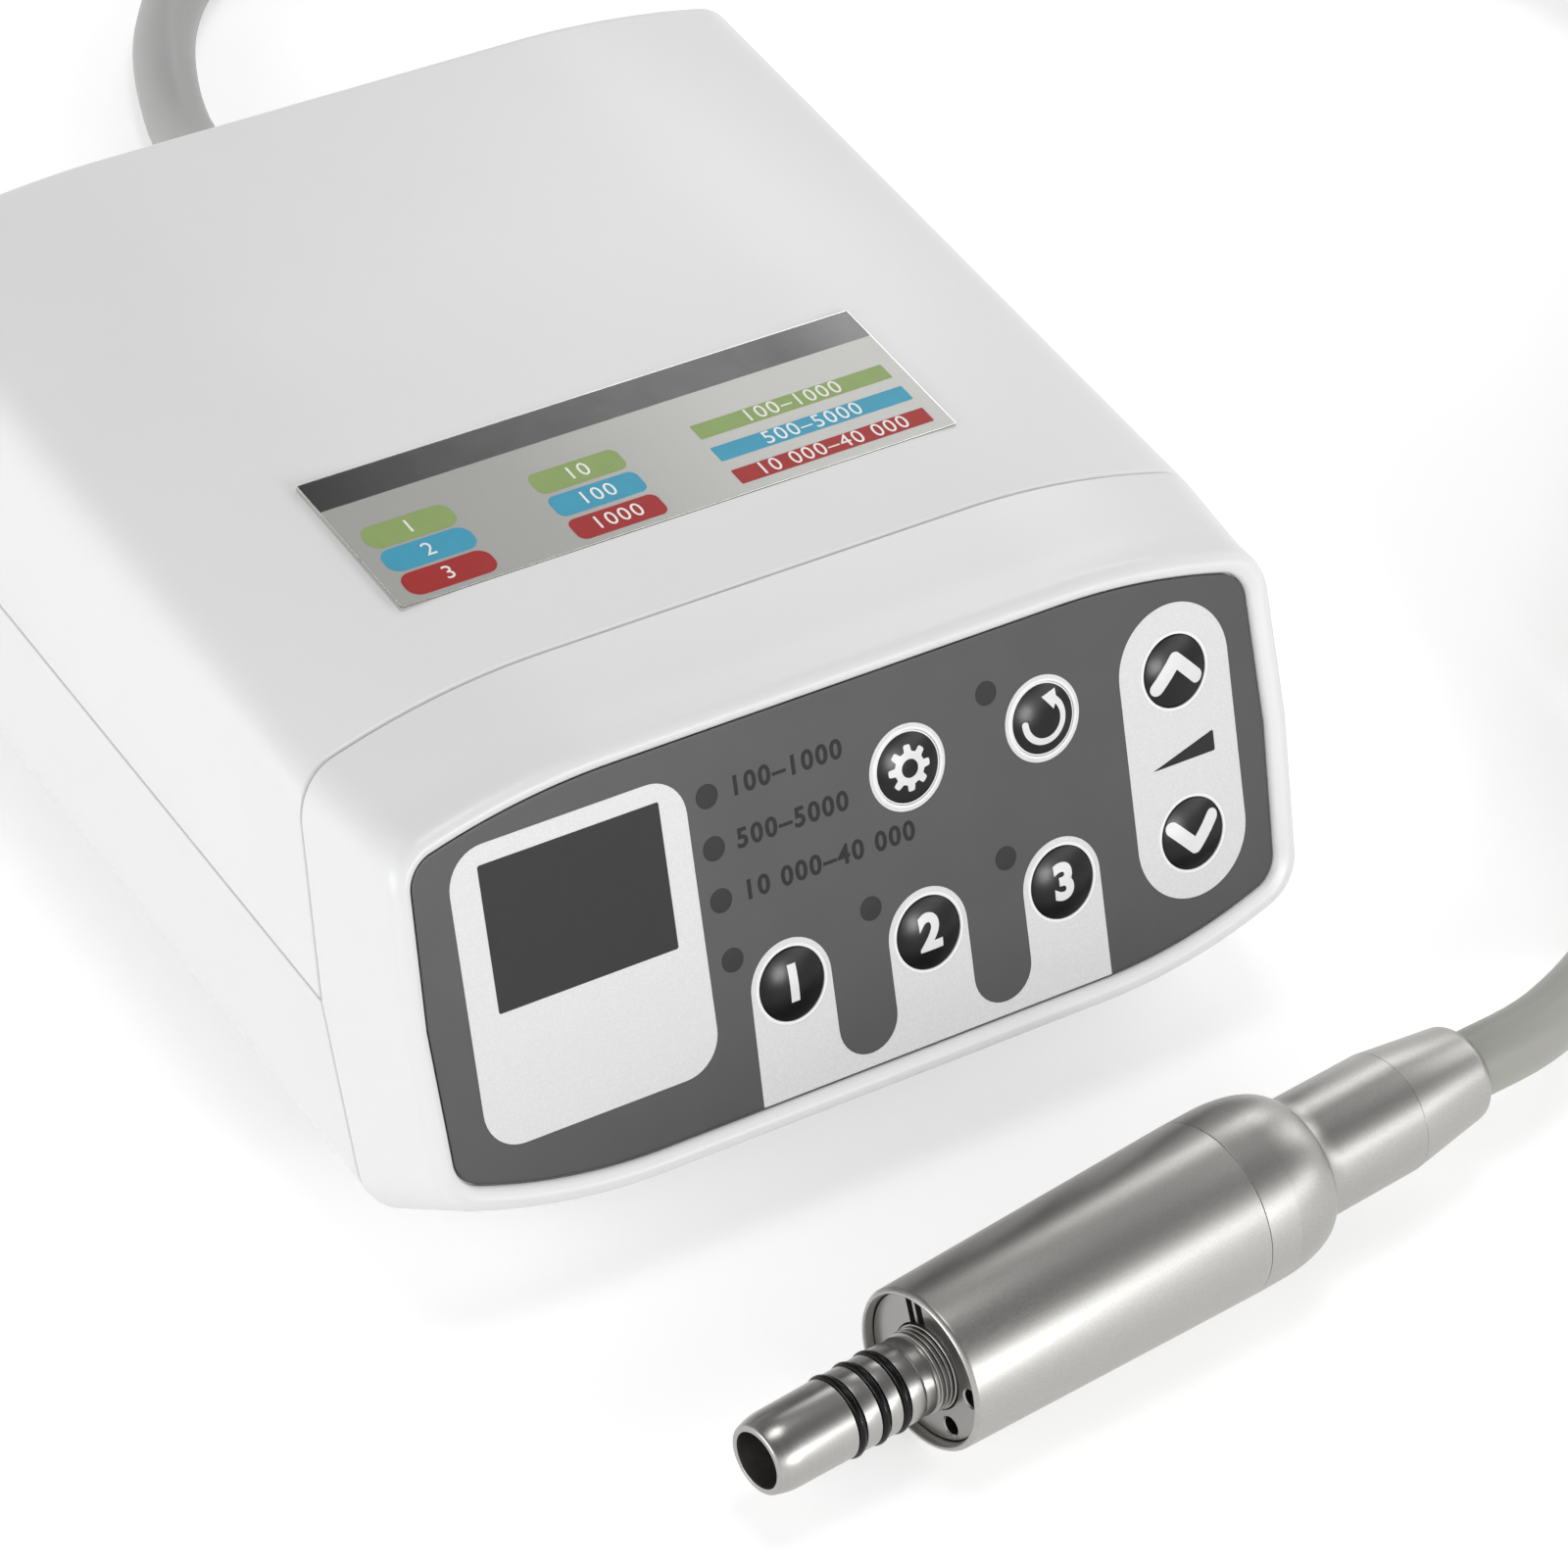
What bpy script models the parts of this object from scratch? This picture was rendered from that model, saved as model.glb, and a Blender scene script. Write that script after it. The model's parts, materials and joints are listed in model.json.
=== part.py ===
"""Bench-top dental micromotor: control unit, drive hose and brushless handpiece motor.

Each object is one separate solid. Metres, +Z up, standing on z = 0. The origin is under the
middle of the control unit and the motor together. The panel side faces -Y.
"""
import math
from collections import namedtuple

import bmesh
import bpy
import numpy as np
from mathutils import Matrix, Vector

for old in list(bpy.data.objects):
    bpy.data.objects.remove(old, do_unlink=True)

# Fits shared by all pieces
GAP = 0.0003  # between pieces that touch
SLIDE = 0.00015  # round a piece that runs or slides
OVERRUN = 0.002  # how far a cutter passes a face
SINK = 0.0008  # how far a boss reaches into its wall
TURN = 2 * math.pi

# Control unit: shell
BOX_HALF_WIDTH = 0.0681  # at the seam
SIDE_DRAFT = 0.0011  # how much the sides draw in between the seam and the shoulders
BOX_HALF_HEIGHT = 0.0302
FLAT_HALF_WIDTH = 0.0310  # the flat middle of the top and the bottom
CROWN_RADIUS = 0.132
CORNER_RADIUS = 0.0070
BODY_DEPTH = 0.1366  # panel centre to the back edge
WALL = 0.0025
BACK_EDGE_RADIUS = 0.0018
CROWN_STEPS = 6
CORNER_STEPS = 5
BACK_STEPS = 3

# Feet and case screws
FOOT_HEIGHT = 0.0040  # under the lowest part of the shell
FOOT_RADIUS = 0.0065
FOOT_SEAT_DEPTH = 0.0017  # how far the foot's pocket goes up past the shell's lowest part
FOOT_SIDE_INSET = 0.0241
FOOT_FRONT_INSET = 0.022
FOOT_BACK_INSET = 0.0186
SCREW_SIDE_INSET = 0.0181
SCREW_FRONT_INSET = 0.036
SCREW_BACK_INSET = 0.0326
SCREW_SHANK_RADIUS = 0.0015
SCREW_HEAD_RADIUS = 0.0028
SCREW_HEAD_HEIGHT = 0.0020
SCREW_LENGTH = 0.0110
SCREW_PAD_RADIUS = 0.0050
SCREW_PAD_BOTTOM = 0.0070
SCREW_PAD_TOP = 0.0120
SCREW_SEAT_Z = 0.0092
POST_RADIUS = 0.0036

# Front panel, whose centre is midway between the two rows of keys
PANEL_LEAN = math.radians(25.7)
PANEL_RISE = 0.0060  # the panel's centre above the seam
BEZEL_DEPTH = 0.0160  # panel face to the bezel's parting line, square to the panel
PLATE_THICKNESS = 0.0022
OVERLAY_THICKNESS = 0.0005
OVERLAY_SIDE_MARGIN = 0.0053  # inside the box's side
OVERLAY_TOP_MARGIN = 0.0024  # under the box's top, along the panel
OVERLAY_BOTTOM_MARGIN = 0.0145  # above the box's bottom, along the panel
OVERLAY_BOW = 0.0007  # how much its sides draw in towards the corners
OVERLAY_FLAT = 0.033
OVERLAY_TOP_CROWN = 0.106
OVERLAY_BOTTOM_CROWN = 0.082
OVERLAY_CORNER = 0.0042
LIP_WIDTH = 0.0028  # from the overlay's edge to the lip's outer edge
LIP_BOTTOM_EXTRA = 0.0006
LIP_HEIGHT = 0.0011  # the lip's crest above the overlay
LIP_CREST_INSET = 0.0013
LIP_WAIST_DEPTH = 0.0042  # behind the panel face, where the bezel is drawn in a little
LIP_WAIST_DIP = 0.0006

# Keys, lamps and window on the panel
KEY_RADIUS = 0.00475
KEY_DOME = 0.0011
KEY_FLANGE_RADIUS = 0.0056
KEY_FLANGE_THICKNESS = 0.0009
KEY_TRAVEL = 0.0006
KEY_COLUMN_SHARES = (-0.1975, 0.1290, 0.4554, 0.7818)  # of the overlay's half width
KEY_ROW_SHARE = 0.439  # of the overlay's half height
DOME_STEPS = 3
KEY_SIDES = 20
LAMP_RADIUS = 0.00144
LAMP_FLANGE_RADIUS = 0.0019
LAMP_FLANGE_THICKNESS = 0.0007
LAMP_SIDES = 12
RANGE_LAMP_COLUMN_SHARE = -0.3287
RANGE_LAMP_ROW_SHARES = (0.652, 0.3805, 0.109)
LAMP_OFFSET_X = -0.0078  # from a key to its lamp
LAMP_OFFSET_V = 0.00575
WINDOW_COLUMN_SHARE = -0.641
WINDOW_TOP_MARGIN = 0.00675
WINDOW_WIDTH = 0.0253
WINDOW_HEIGHT = 0.0188
WINDOW_FLANGE = 0.0008
WINDOW_FLANGE_THICKNESS = 0.0009
DISPLAY_WIDTH = 0.0286
DISPLAY_HEIGHT = 0.0222
DISPLAY_THICKNESS = 0.0032

# Key board behind the panel
KEY_BOARD_MARGIN = 0.0025  # inside the overlay's sides
KEY_BOARD_EDGE = 0.0060  # inside the overlay's top and bottom
BOARD_THICKNESS = 0.0016
SWITCH_SIZE = 0.0060
SWITCH_PLUNGER_RADIUS = 0.0017
SWITCH_BODY_HEIGHT = 0.0028
PANEL_POST_RADIUS = 0.0024
PANEL_POST_SHARES = ((-0.13, 0.62), (-0.64, -0.62), (0.91, 0.0))

# Top label plate
LABEL_X = -0.0013
LABEL_PLACE_SHARE = 0.317  # of the body's depth, at the label's front edge
LABEL_WIDTH = 0.0826
LABEL_DEPTH = 0.0252
LABEL_THICKNESS = 0.0006
LABEL_PROUD = 0.0001

# Main board and what stands on it
MAIN_BOARD_CLEARANCE = 0.0024  # beside the screw posts
MAIN_BOARD_DEPTH = 0.060
STANDOFF_RADIUS = 0.0030
STANDOFF_INSET = 0.0045
STANDOFF_TOP = 0.0120
MODULE_PLACE_SHARE = -0.40  # of the main board's half width
MODULE_WIDTH = 0.036
MODULE_DEPTH = 0.046
MODULE_HEIGHT = 0.024
SINK_PLACE_SHARE = 0.60
SINK_WIDTH = 0.024
SINK_DEPTH = 0.040
SINK_BASE = 0.0030
SINK_HEIGHT = 0.0160
SINK_FINS = 5
FIN_SHARE = 0.36  # of the fin pitch

# Rear panel and its fittings
REAR_PANEL_THICKNESS = 0.0025
REAR_PANEL_RECESS = 0.0015
FITTING_Z = 0.0300
INLET_WIDTH = 0.0230
INLET_HEIGHT = 0.0150
INLET_FLANGE = 0.0025
INLET_FLANGE_THICKNESS = 0.0015
INLET_DEPTH = 0.0160
INLET_WALL = 0.0018
INLET_RECESS = 0.0120
PIN_RADIUS = 0.0012
PIN_HALF_PITCH = 0.0052
PIN_LENGTH = 0.0090
ROCKER_RADIUS = 0.0080
ROCKER_HALF_WIDTH = 0.0060
ROCKER_FACE_ANGLE = math.radians(58)
ROCKER_TILT = math.radians(8)
ROCKER_WAIST = 0.0026
FRAME_WALL = 0.0016
FRAME_FLANGE = 0.0018
FRAME_FLANGE_THICKNESS = 0.0014
FRAME_DEPTH = 0.0150
PIVOT_RADIUS = 0.0012
PIVOT_LENGTH = 0.0009
SOCKET_RADIUS = 0.0080
SOCKET_COLLAR_RADIUS = 0.0098
SOCKET_COLLAR_THICKNESS = 0.0022
SOCKET_BORE_RADIUS = 0.0062
SOCKET_BORE_DEPTH = 0.0090
SOCKET_DEPTH = 0.0130
SOCKET_PIN_CIRCLE = 0.0046
SOCKET_PIN_RADIUS = 0.0006
SOCKET_PINS = 4

# Drive hose
HOSE_RADIUS = 0.0046
HOSE_LIFT = 0.0003  # of the hose's underside above the surface
GLAND_Z = 0.0190
GLAND_NUT_RADIUS = 0.0092
GLAND_NUT_THICKNESS = 0.0040
GLAND_TIP_RADIUS = 0.0062
GLAND_LENGTH = 0.0130  # outside the rear panel
GLAND_INSIDE = 0.0080
GLAND_INSIDE_RADIUS = 0.0075
GLAND_RIB = 0.0006
GLAND_RIBS = 3
GLAND_HOLD = 0.0090  # how deep the hose sits in the gland
WIRE_BORE_RADIUS = 0.0030
COIL_OUTER_RADIUS = 0.0555
COIL_GAP = 0.0006
COIL_TURNS_PER_LAYER = 2
COIL_LAYERS = 2
COIL_STEPS = 24
COIL_START = (0.1570, 0.0282)  # where the hose joins the coil, in the control unit's X and Y
COIL_HEADING = math.radians(231.5)
RUN_STEP = 0.0190

# Motor, measured along its axis from the sleeve's front rim, rearwards
MOTOR_X = -0.02227
MOTOR_Y = -0.05143
MOTOR_YAW = math.radians(5.91)
SLEEVE_FRONT_RADIUS = 0.0108
SLEEVE_REAR_RADIUS = 0.01185
SLEEVE_LENGTH = 0.0470
SLEEVE_BORE_RADIUS = 0.0099
RIM_CHAMFER = 0.0004
MOTOR_SIDES = 32
NOSE_SIDES = 24

CAP_LENGTH = 0.0301
CAP_CYLINDER = 0.0046
CAP_DOME = 0.00875
NECK_RADIUS = 0.00825
NECK_FILLET = 0.0027
FILLET_SHARE = 0.24  # how far the neck's fillet rises, as a share of its length
CONE_RADIUS = 0.0082
CAP_SPIGOT = 0.0050
NUT_LENGTH = 0.0139
NUT_END_RADIUS = 0.0065
NUT_CHAMFER = 0.0012
NUT_FLOOR = 0.0030
CAP_DOME_STEPS = 5

PLATE_FRONT = 0.0014
PLATE_DEPTH = 0.0062
PORT_RADIUS = 0.0009
PORT_CIRCLE = 0.0079
PORT_ANGLES = (math.radians(-118), math.radians(-152))
SLOT_ANGLE = math.radians(62)
SLOT_HALF_WIDTH = 0.0014
SLOT_DEPTH = 0.0016

NOSE_TIP = 0.0252
NOSE_TIP_RADIUS = 0.0046
NOSE_TAPER = 0.0037
NOSE_RADIUS = 0.0052
NOSE_BORE_RADIUS = 0.0037
NOSE_BORE_DEPTH = 0.0190
NOSE_INNER_RADIUS = 0.0030
NOSE_ROOT_SHARES = ((-0.1825, 0.942), (-0.135, 1.038), (-0.024, 0.962), (0.040, 1.077))
NOSE_FLANGE_THICKNESS = 0.0042
BEARING_RADIUS = 0.0048
BEARING_WIDTH = 0.0030
RING_PLACE_SHARES = (-0.512, -0.367, -0.238)
RING_RADIUS = 0.00055
RING_MEAN_RADIUS = 0.0049
RING_GROOVE_RADIUS = 0.0042
RING_SIDES = 6

STATOR_CLEARANCE = 0.0014
MAGNET_CLEARANCE = 0.0020  # inside the stator's ends
STATOR_BORE_RADIUS = 0.0054
MAGNET_RADIUS = 0.0050
SHAFT_RADIUS = 0.0015
SHAFT_BEHIND_DOG = 0.0005
DOG_RADIUS = 0.0025
DOG_DEPTH = 0.0102  # behind the nose's tip
DOG_LENGTH = 0.0065
DOG_SLOT_HALF_WIDTH = 0.0006
DOG_SLOT_DEPTH = 0.0025

# Worked out from the values above
SHOULDER_HALF_WIDTH = BOX_HALF_WIDTH - SIDE_DRAFT
SEAM_Z = FOOT_HEIGHT + BOX_HALF_HEIGHT
PANEL_Z = SEAM_Z + PANEL_RISE
LEAN_SIN, LEAN_COS = math.sin(PANEL_LEAN), math.cos(PANEL_LEAN)
OVERLAY_HALF_WIDTH = BOX_HALF_WIDTH - OVERLAY_SIDE_MARGIN
OVERLAY_TOP = (BOX_HALF_HEIGHT - PANEL_RISE) / LEAN_COS - OVERLAY_TOP_MARGIN
OVERLAY_BOTTOM = (BOX_HALF_HEIGHT + PANEL_RISE) / LEAN_COS - OVERLAY_BOTTOM_MARGIN
PANEL_HALF_HEIGHT = (OVERLAY_TOP + OVERLAY_BOTTOM) / 2
WINDOW_X = OVERLAY_HALF_WIDTH * WINDOW_COLUMN_SHARE
WINDOW_V = OVERLAY_TOP - WINDOW_TOP_MARGIN - WINDOW_HEIGHT / 2
REAR_FACE_Y = BODY_DEPTH - REAR_PANEL_RECESS
REAR_INNER_Y = REAR_FACE_Y - REAR_PANEL_THICKNESS
MOTOR_TILT = math.asin((SLEEVE_REAR_RADIUS - SLEEVE_FRONT_RADIUS) / SLEEVE_LENGTH)
MOTOR_Z = SLEEVE_FRONT_RADIUS * math.cos(MOTOR_TILT)
CONE_EDGE = SLEEVE_LENGTH + CAP_LENGTH
NUT_END = CONE_EDGE + NUT_LENGTH
HOSE_Z = HOSE_RADIUS + HOSE_LIFT
COIL_PITCH = 2 * HOSE_RADIUS + COIL_GAP
LEFT_EDGE = -BOX_HALF_WIDTH
NUT_TIP_RADIUS = NUT_END_RADIUS - NUT_CHAMFER
MOTOR_REACH = MOTOR_X + NUT_END * math.cos(MOTOR_YAW) + NUT_TIP_RADIUS * math.sin(MOTOR_YAW)
RIGHT_EDGE = max(BOX_HALF_WIDTH, MOTOR_REACH)
SCREW_X = BOX_HALF_WIDTH - SCREW_SIDE_INSET
SCREW_BACK_Y = BODY_DEPTH - SCREW_BACK_INSET
MAIN_BOARD_HALF_WIDTH = SCREW_X - POST_RADIUS - MAIN_BOARD_CLEARANCE
MAIN_BOARD_Y = (SCREW_FRONT_INSET + SCREW_BACK_Y) / 2
MODULE_X = MAIN_BOARD_HALF_WIDTH * MODULE_PLACE_SHARE
SINK_X = MAIN_BOARD_HALF_WIDTH * SINK_PLACE_SHARE
FRAME_WIDTH = 2 * (ROCKER_HALF_WIDTH + SLIDE + FRAME_WALL)
FRAME_HEIGHT = 2 * (ROCKER_RADIUS + SLIDE + FRAME_WALL)


def in_a_row(widths, span):
    """Middles of pieces of these widths, set across the span with equal spaces between them."""
    space = (span - sum(widths)) / (len(widths) + 1)
    places, left = [], -span / 2
    for width in widths:
        places.append(left + space + width / 2)
        left += space + width
    return places


INLET_X, SOCKET_X, GLAND_X, SWITCH_X = in_a_row(
    (INLET_WIDTH + 2 * INLET_FLANGE, 2 * SOCKET_COLLAR_RADIUS, 2 * GLAND_NUT_RADIUS,
     FRAME_WIDTH + 2 * FRAME_FLANGE),
    2 * (SHOULDER_HALF_WIDTH - CORNER_RADIUS))
FRONT_EDGE = MOTOR_Y - SLEEVE_FRONT_RADIUS * math.cos(MOTOR_YAW)
BACK_EDGE = REAR_FACE_Y + GLAND_LENGTH
CENTRE = Vector(((LEFT_EDGE + RIGHT_EDGE) / 2, (FRONT_EDGE + BACK_EDGE) / 2, 0))

Outline = namedtuple(
    "Outline",
    "middle_half end_half top top_flat top_crown bottom bottom_flat bottom_crown corner",
)
BODY = Outline(
    BOX_HALF_WIDTH, SHOULDER_HALF_WIDTH,
    BOX_HALF_HEIGHT, FLAT_HALF_WIDTH, CROWN_RADIUS,
    BOX_HALF_HEIGHT, FLAT_HALF_WIDTH, CROWN_RADIUS, CORNER_RADIUS,
)
OVERLAY = Outline(
    OVERLAY_HALF_WIDTH, OVERLAY_HALF_WIDTH - OVERLAY_BOW,
    OVERLAY_TOP, OVERLAY_FLAT, OVERLAY_TOP_CROWN,
    OVERLAY_BOTTOM, OVERLAY_FLAT, OVERLAY_BOTTOM_CROWN, OVERLAY_CORNER,
)


def material(name, colour, roughness, metallic=0.0):
    """A Principled BSDF with the piece's colour, roughness and metallic value."""
    made = bpy.data.materials.new(name)
    made.use_nodes = True
    shader = made.node_tree.nodes["Principled BSDF"]
    shader.inputs["Base Color"].default_value = (*colour, 1.0)
    shader.inputs["Roughness"].default_value = roughness
    shader.inputs["Metallic"].default_value = metallic
    made.diffuse_color = (*colour, 1.0)
    return made


WHITE = material("White case plastic", (0.80, 0.80, 0.80), 0.35)
SLATE = material("Grey overlay film", (0.115, 0.115, 0.115), 0.40)
BLACK = material("Black key plastic", (0.012, 0.012, 0.013), 0.22)
SMOKE = material("Smoked window", (0.050, 0.050, 0.050), 0.20)
LENS = material("Dark lamp lens", (0.045, 0.045, 0.045), 0.30)
PLATE_METAL = material("Polished label plate", (0.52, 0.51, 0.47), 0.22, 0.8)
BOARD = material("Circuit board", (0.02, 0.13, 0.06), 0.55)
STEEL = material("Satin steel", (0.42, 0.41, 0.39), 0.34, 1.0)
BRIGHT = material("Polished steel", (0.52, 0.51, 0.50), 0.18, 1.0)
ALLOY = material("Plain aluminium", (0.60, 0.60, 0.61), 0.40, 1.0)
COPPER = material("Copper winding", (0.55, 0.26, 0.12), 0.40, 1.0)
MAGNET = material("Magnet alloy", (0.20, 0.20, 0.22), 0.35, 1.0)
RUBBER = material("Black rubber", (0.015, 0.015, 0.015), 0.60)
MODULE = material("Power module casing", (0.08, 0.08, 0.09), 0.60)
HOSE_GREY = material("Grey hose", (0.34, 0.34, 0.33), 0.45)
DARK = material("Dark fitting plastic", (0.03, 0.03, 0.03), 0.45)


def empty(name, location, rotation=(0, 0, 0), parent=None):
    made = bpy.data.objects.new(name, None)
    made.location = location
    made.rotation_euler = rotation
    made.parent = parent
    bpy.context.scene.collection.objects.link(made)
    return made


UNIT = empty("control_unit", -CENTRE)
PANEL = empty("front_panel", (0, 0, PANEL_Z), (math.pi / 2 - PANEL_LEAN, 0, 0), UNIT)
MOTOR = empty("motor", (MOTOR_X, MOTOR_Y, MOTOR_Z), (0, -MOTOR_TILT, MOTOR_YAW), UNIT)


def add_mesh(name, bm, look=None, parent=UNIT, location=(0, 0, 0), rotation=(0, 0, 0)):
    """An object of the mesh, with faces out and round sides smooth."""
    bmesh.ops.recalc_face_normals(bm, faces=bm.faces)
    if bm.calc_volume(signed=True) < 0:
        bmesh.ops.reverse_faces(bm, faces=bm.faces)
    mesh = bpy.data.meshes.new(name)
    bm.to_mesh(mesh)
    bm.free()
    mesh.shade_smooth()
    mesh.set_sharp_from_angle(angle=math.radians(30))
    made = bpy.data.objects.new(name, mesh)
    if look:
        mesh.materials.append(look)
    made.parent = parent
    made.location = location
    made.rotation_euler = rotation
    bpy.context.scene.collection.objects.link(made)
    return made


def skin(bm, loops, closed=False, arched=False):
    """Faces between loops of points, with the ends capped, or the last joined to the first.

    An arched loop goes out along one side of a wall and back along the other, point for point.
    """
    rings = [[bm.verts.new(p) for p in loop] for loop in loops]
    pairs = list(zip(rings, rings[1:])) + ([(rings[-1], rings[0])] if closed else [])
    for low, high in pairs:
        for i in range(len(low)):
            j = (i + 1) % len(low)
            bm.faces.new((low[i], low[j], high[j], high[i]))
    if arched:
        for ring in (rings[0], rings[-1]):
            for i in range(len(ring) // 2 - 1):
                bm.faces.new((ring[i], ring[i + 1], ring[-2 - i], ring[-1 - i]))
    elif not closed:
        ends = [bm.faces.new(rings[0][::-1]), bm.faces.new(rings[-1])]
        bmesh.ops.triangulate(bm, faces=ends, ngon_method="EAR_CLIP")
    return bm


def loft(name, loops, look, closed=False, arched=False, **placing):
    return add_mesh(name, skin(bmesh.new(), loops, closed, arched), look, **placing)


def circle(radius, sides, x=0, y=0, z=0, axis="Z"):
    """A ring of points round an axis through (x, y, z)."""
    ring = []
    for i in range(sides):
        a, b = radius * math.cos(TURN * i / sides), radius * math.sin(TURN * i / sides)
        ring.append({"Z": (x + a, y + b, z), "X": (x, y + a, z + b), "Y": (x + b, y, z + a)}[axis])
    return ring


def turned_loops(profile, sides, axis="Z"):
    """Rings for a profile of (place along the axis, radius)."""
    along = {"X": "x", "Y": "y", "Z": "z"}[axis]
    return [circle(r, sides, axis=axis, **{along: s}) for s, r in profile]


def turned(name, profile, sides, look, axis="X", hollow=False, **placing):
    """A turned piece; a hollow one's profile goes round its wall and closes on itself."""
    return loft(name, turned_loops(profile, sides, axis), look, hollow, **placing)


def box_loops(x0, x1, y0, y1, z0, z1):
    return [[(x0, y0, z), (x1, y0, z), (x1, y1, z), (x0, y1, z)] for z in (z0, z1)]


def tool(name, groups, **placing):
    """A hidden solid of one or more closed bodies, for cutting or for adding."""
    bm = bmesh.new()
    for loops in groups:
        skin(bm, loops)
    made = add_mesh(name, bm, **placing)
    made.hide_render = True
    made.display_type = "WIRE"
    return made


def change(piece, other, operation):
    step = piece.modifiers.new(other.name, "BOOLEAN")
    step.operation = operation
    step.solver = "EXACT"
    step.object = other


def cut(piece, name, groups, **placing):
    change(piece, tool(name, groups, parent=piece.parent, **placing), "DIFFERENCE")


def add(piece, name, groups, **placing):
    change(piece, tool(name, groups, parent=piece.parent, **placing), "UNION")


def quadrant(end_half, extent, flat, crown, corner):
    """From the end of the flat middle, over the crown and the corner, to the side."""
    corner_x, crown_h = end_half - corner, extent - crown
    corner_h = crown_h + math.sqrt((crown - corner) ** 2 - (corner_x - flat) ** 2)
    meet = math.atan2(corner_h - crown_h, corner_x - flat)
    points = []
    for i in range(CROWN_STEPS + 1):
        a = math.pi / 2 + (meet - math.pi / 2) * i / CROWN_STEPS
        points.append((flat + crown * math.cos(a), crown_h + crown * math.sin(a)))
    for i in range(1, CORNER_STEPS + 1):
        a = meet * (1 - i / CORNER_STEPS)
        points.append((corner_x + corner * math.cos(a), corner_h + corner * math.sin(a)))
    return points


def upper_half(o, inset=0.0):
    return quadrant(o.end_half - inset, o.top - inset, o.top_flat, o.top_crown - inset, o.corner - inset)


def lower_half(o, inset=0.0):
    across = quadrant(
        o.end_half - inset, o.bottom - inset, o.bottom_flat, o.bottom_crown - inset, o.corner - inset
    )
    return [(x, -h) for x, h in across]


def outline(o, inset=0.0):
    """The whole outline, clockwise from the right end of the top's flat middle."""
    right = upper_half(o, inset) + [(o.middle_half - inset, 0)] + lower_half(o, inset)[::-1]
    return right + [(-x, h) for x, h in right[::-1]]


def lean_y(height, depth):
    """Y of a point at a height above the panel's centre, so deep behind the panel's face."""
    return (depth + height * LEAN_SIN) / LEAN_COS


def on_panel(point, depth):
    """A point of an upright section, moved along Y to a depth behind the panel, in panel axes."""
    x, h = point
    return (x, (h + depth * LEAN_SIN) / LEAN_COS, -depth)


def cover_section(side, inset):
    """One half of the case's wall in section: out over the outside, back along the inside."""
    half = upper_half if side > 0 else lower_half
    edge = side * GAP / 2

    def arch(amount):
        right = half(BODY, amount)
        side_point = (BODY.middle_half - amount, edge)
        return [side_point] + right[::-1] + [(-x, h) for x, h in right] + [(-side_point[0], edge)]

    return arch(inset) + arch(WALL)[::-1]


def cover(name, side):
    """A cover is its section drawn from the leaning parting plane to the rounded back edge."""
    parting = BEZEL_DEPTH + GAP / 2
    loops = [[(x, lean_y(h - PANEL_RISE, parting), SEAM_Z + h) for x, h in cover_section(side, 0.0)]]
    for i in range(BACK_STEPS + 1):
        a = math.pi / 2 * i / BACK_STEPS
        y = BODY_DEPTH - BACK_EDGE_RADIUS * (1 - math.sin(a))
        section = cover_section(side, BACK_EDGE_RADIUS * (1 - math.cos(a)))
        loops.append([(x, y, SEAM_Z + h) for x, h in section])
    return loft(name, loops, WHITE, arched=True)


def rod(radius, sides, x, y, z0, z1):
    return [circle(radius, sides, x, y, z) for z in (z0, z1)]


def each_corner(x, front, back):
    return [(side * x, y) for y in (front, back) for side in (-1, 1)]


def roof_height(x, inset):
    """Height of the case's top at x, measured inwards from the outside by the inset."""
    past = max(abs(x) - FLAT_HALF_WIDTH, 0)
    radius = CROWN_RADIUS - inset
    return SEAM_Z + BOX_HALF_HEIGHT - CROWN_RADIUS + math.sqrt(radius ** 2 - past ** 2)


SCREW_PLACES = each_corner(SCREW_X, SCREW_FRONT_INSET, SCREW_BACK_Y)
FOOT_PLACES = each_corner(BOX_HALF_WIDTH - FOOT_SIDE_INSET, FOOT_FRONT_INSET, BODY_DEPTH - FOOT_BACK_INSET)
BOARD_PLACES = [
    (i * (MAIN_BOARD_HALF_WIDTH - STANDOFF_INSET),
     MAIN_BOARD_Y + j * (MAIN_BOARD_DEPTH / 2 - STANDOFF_INSET))
    for i in (-1, 1) for j in (-1, 1)
]


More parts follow.
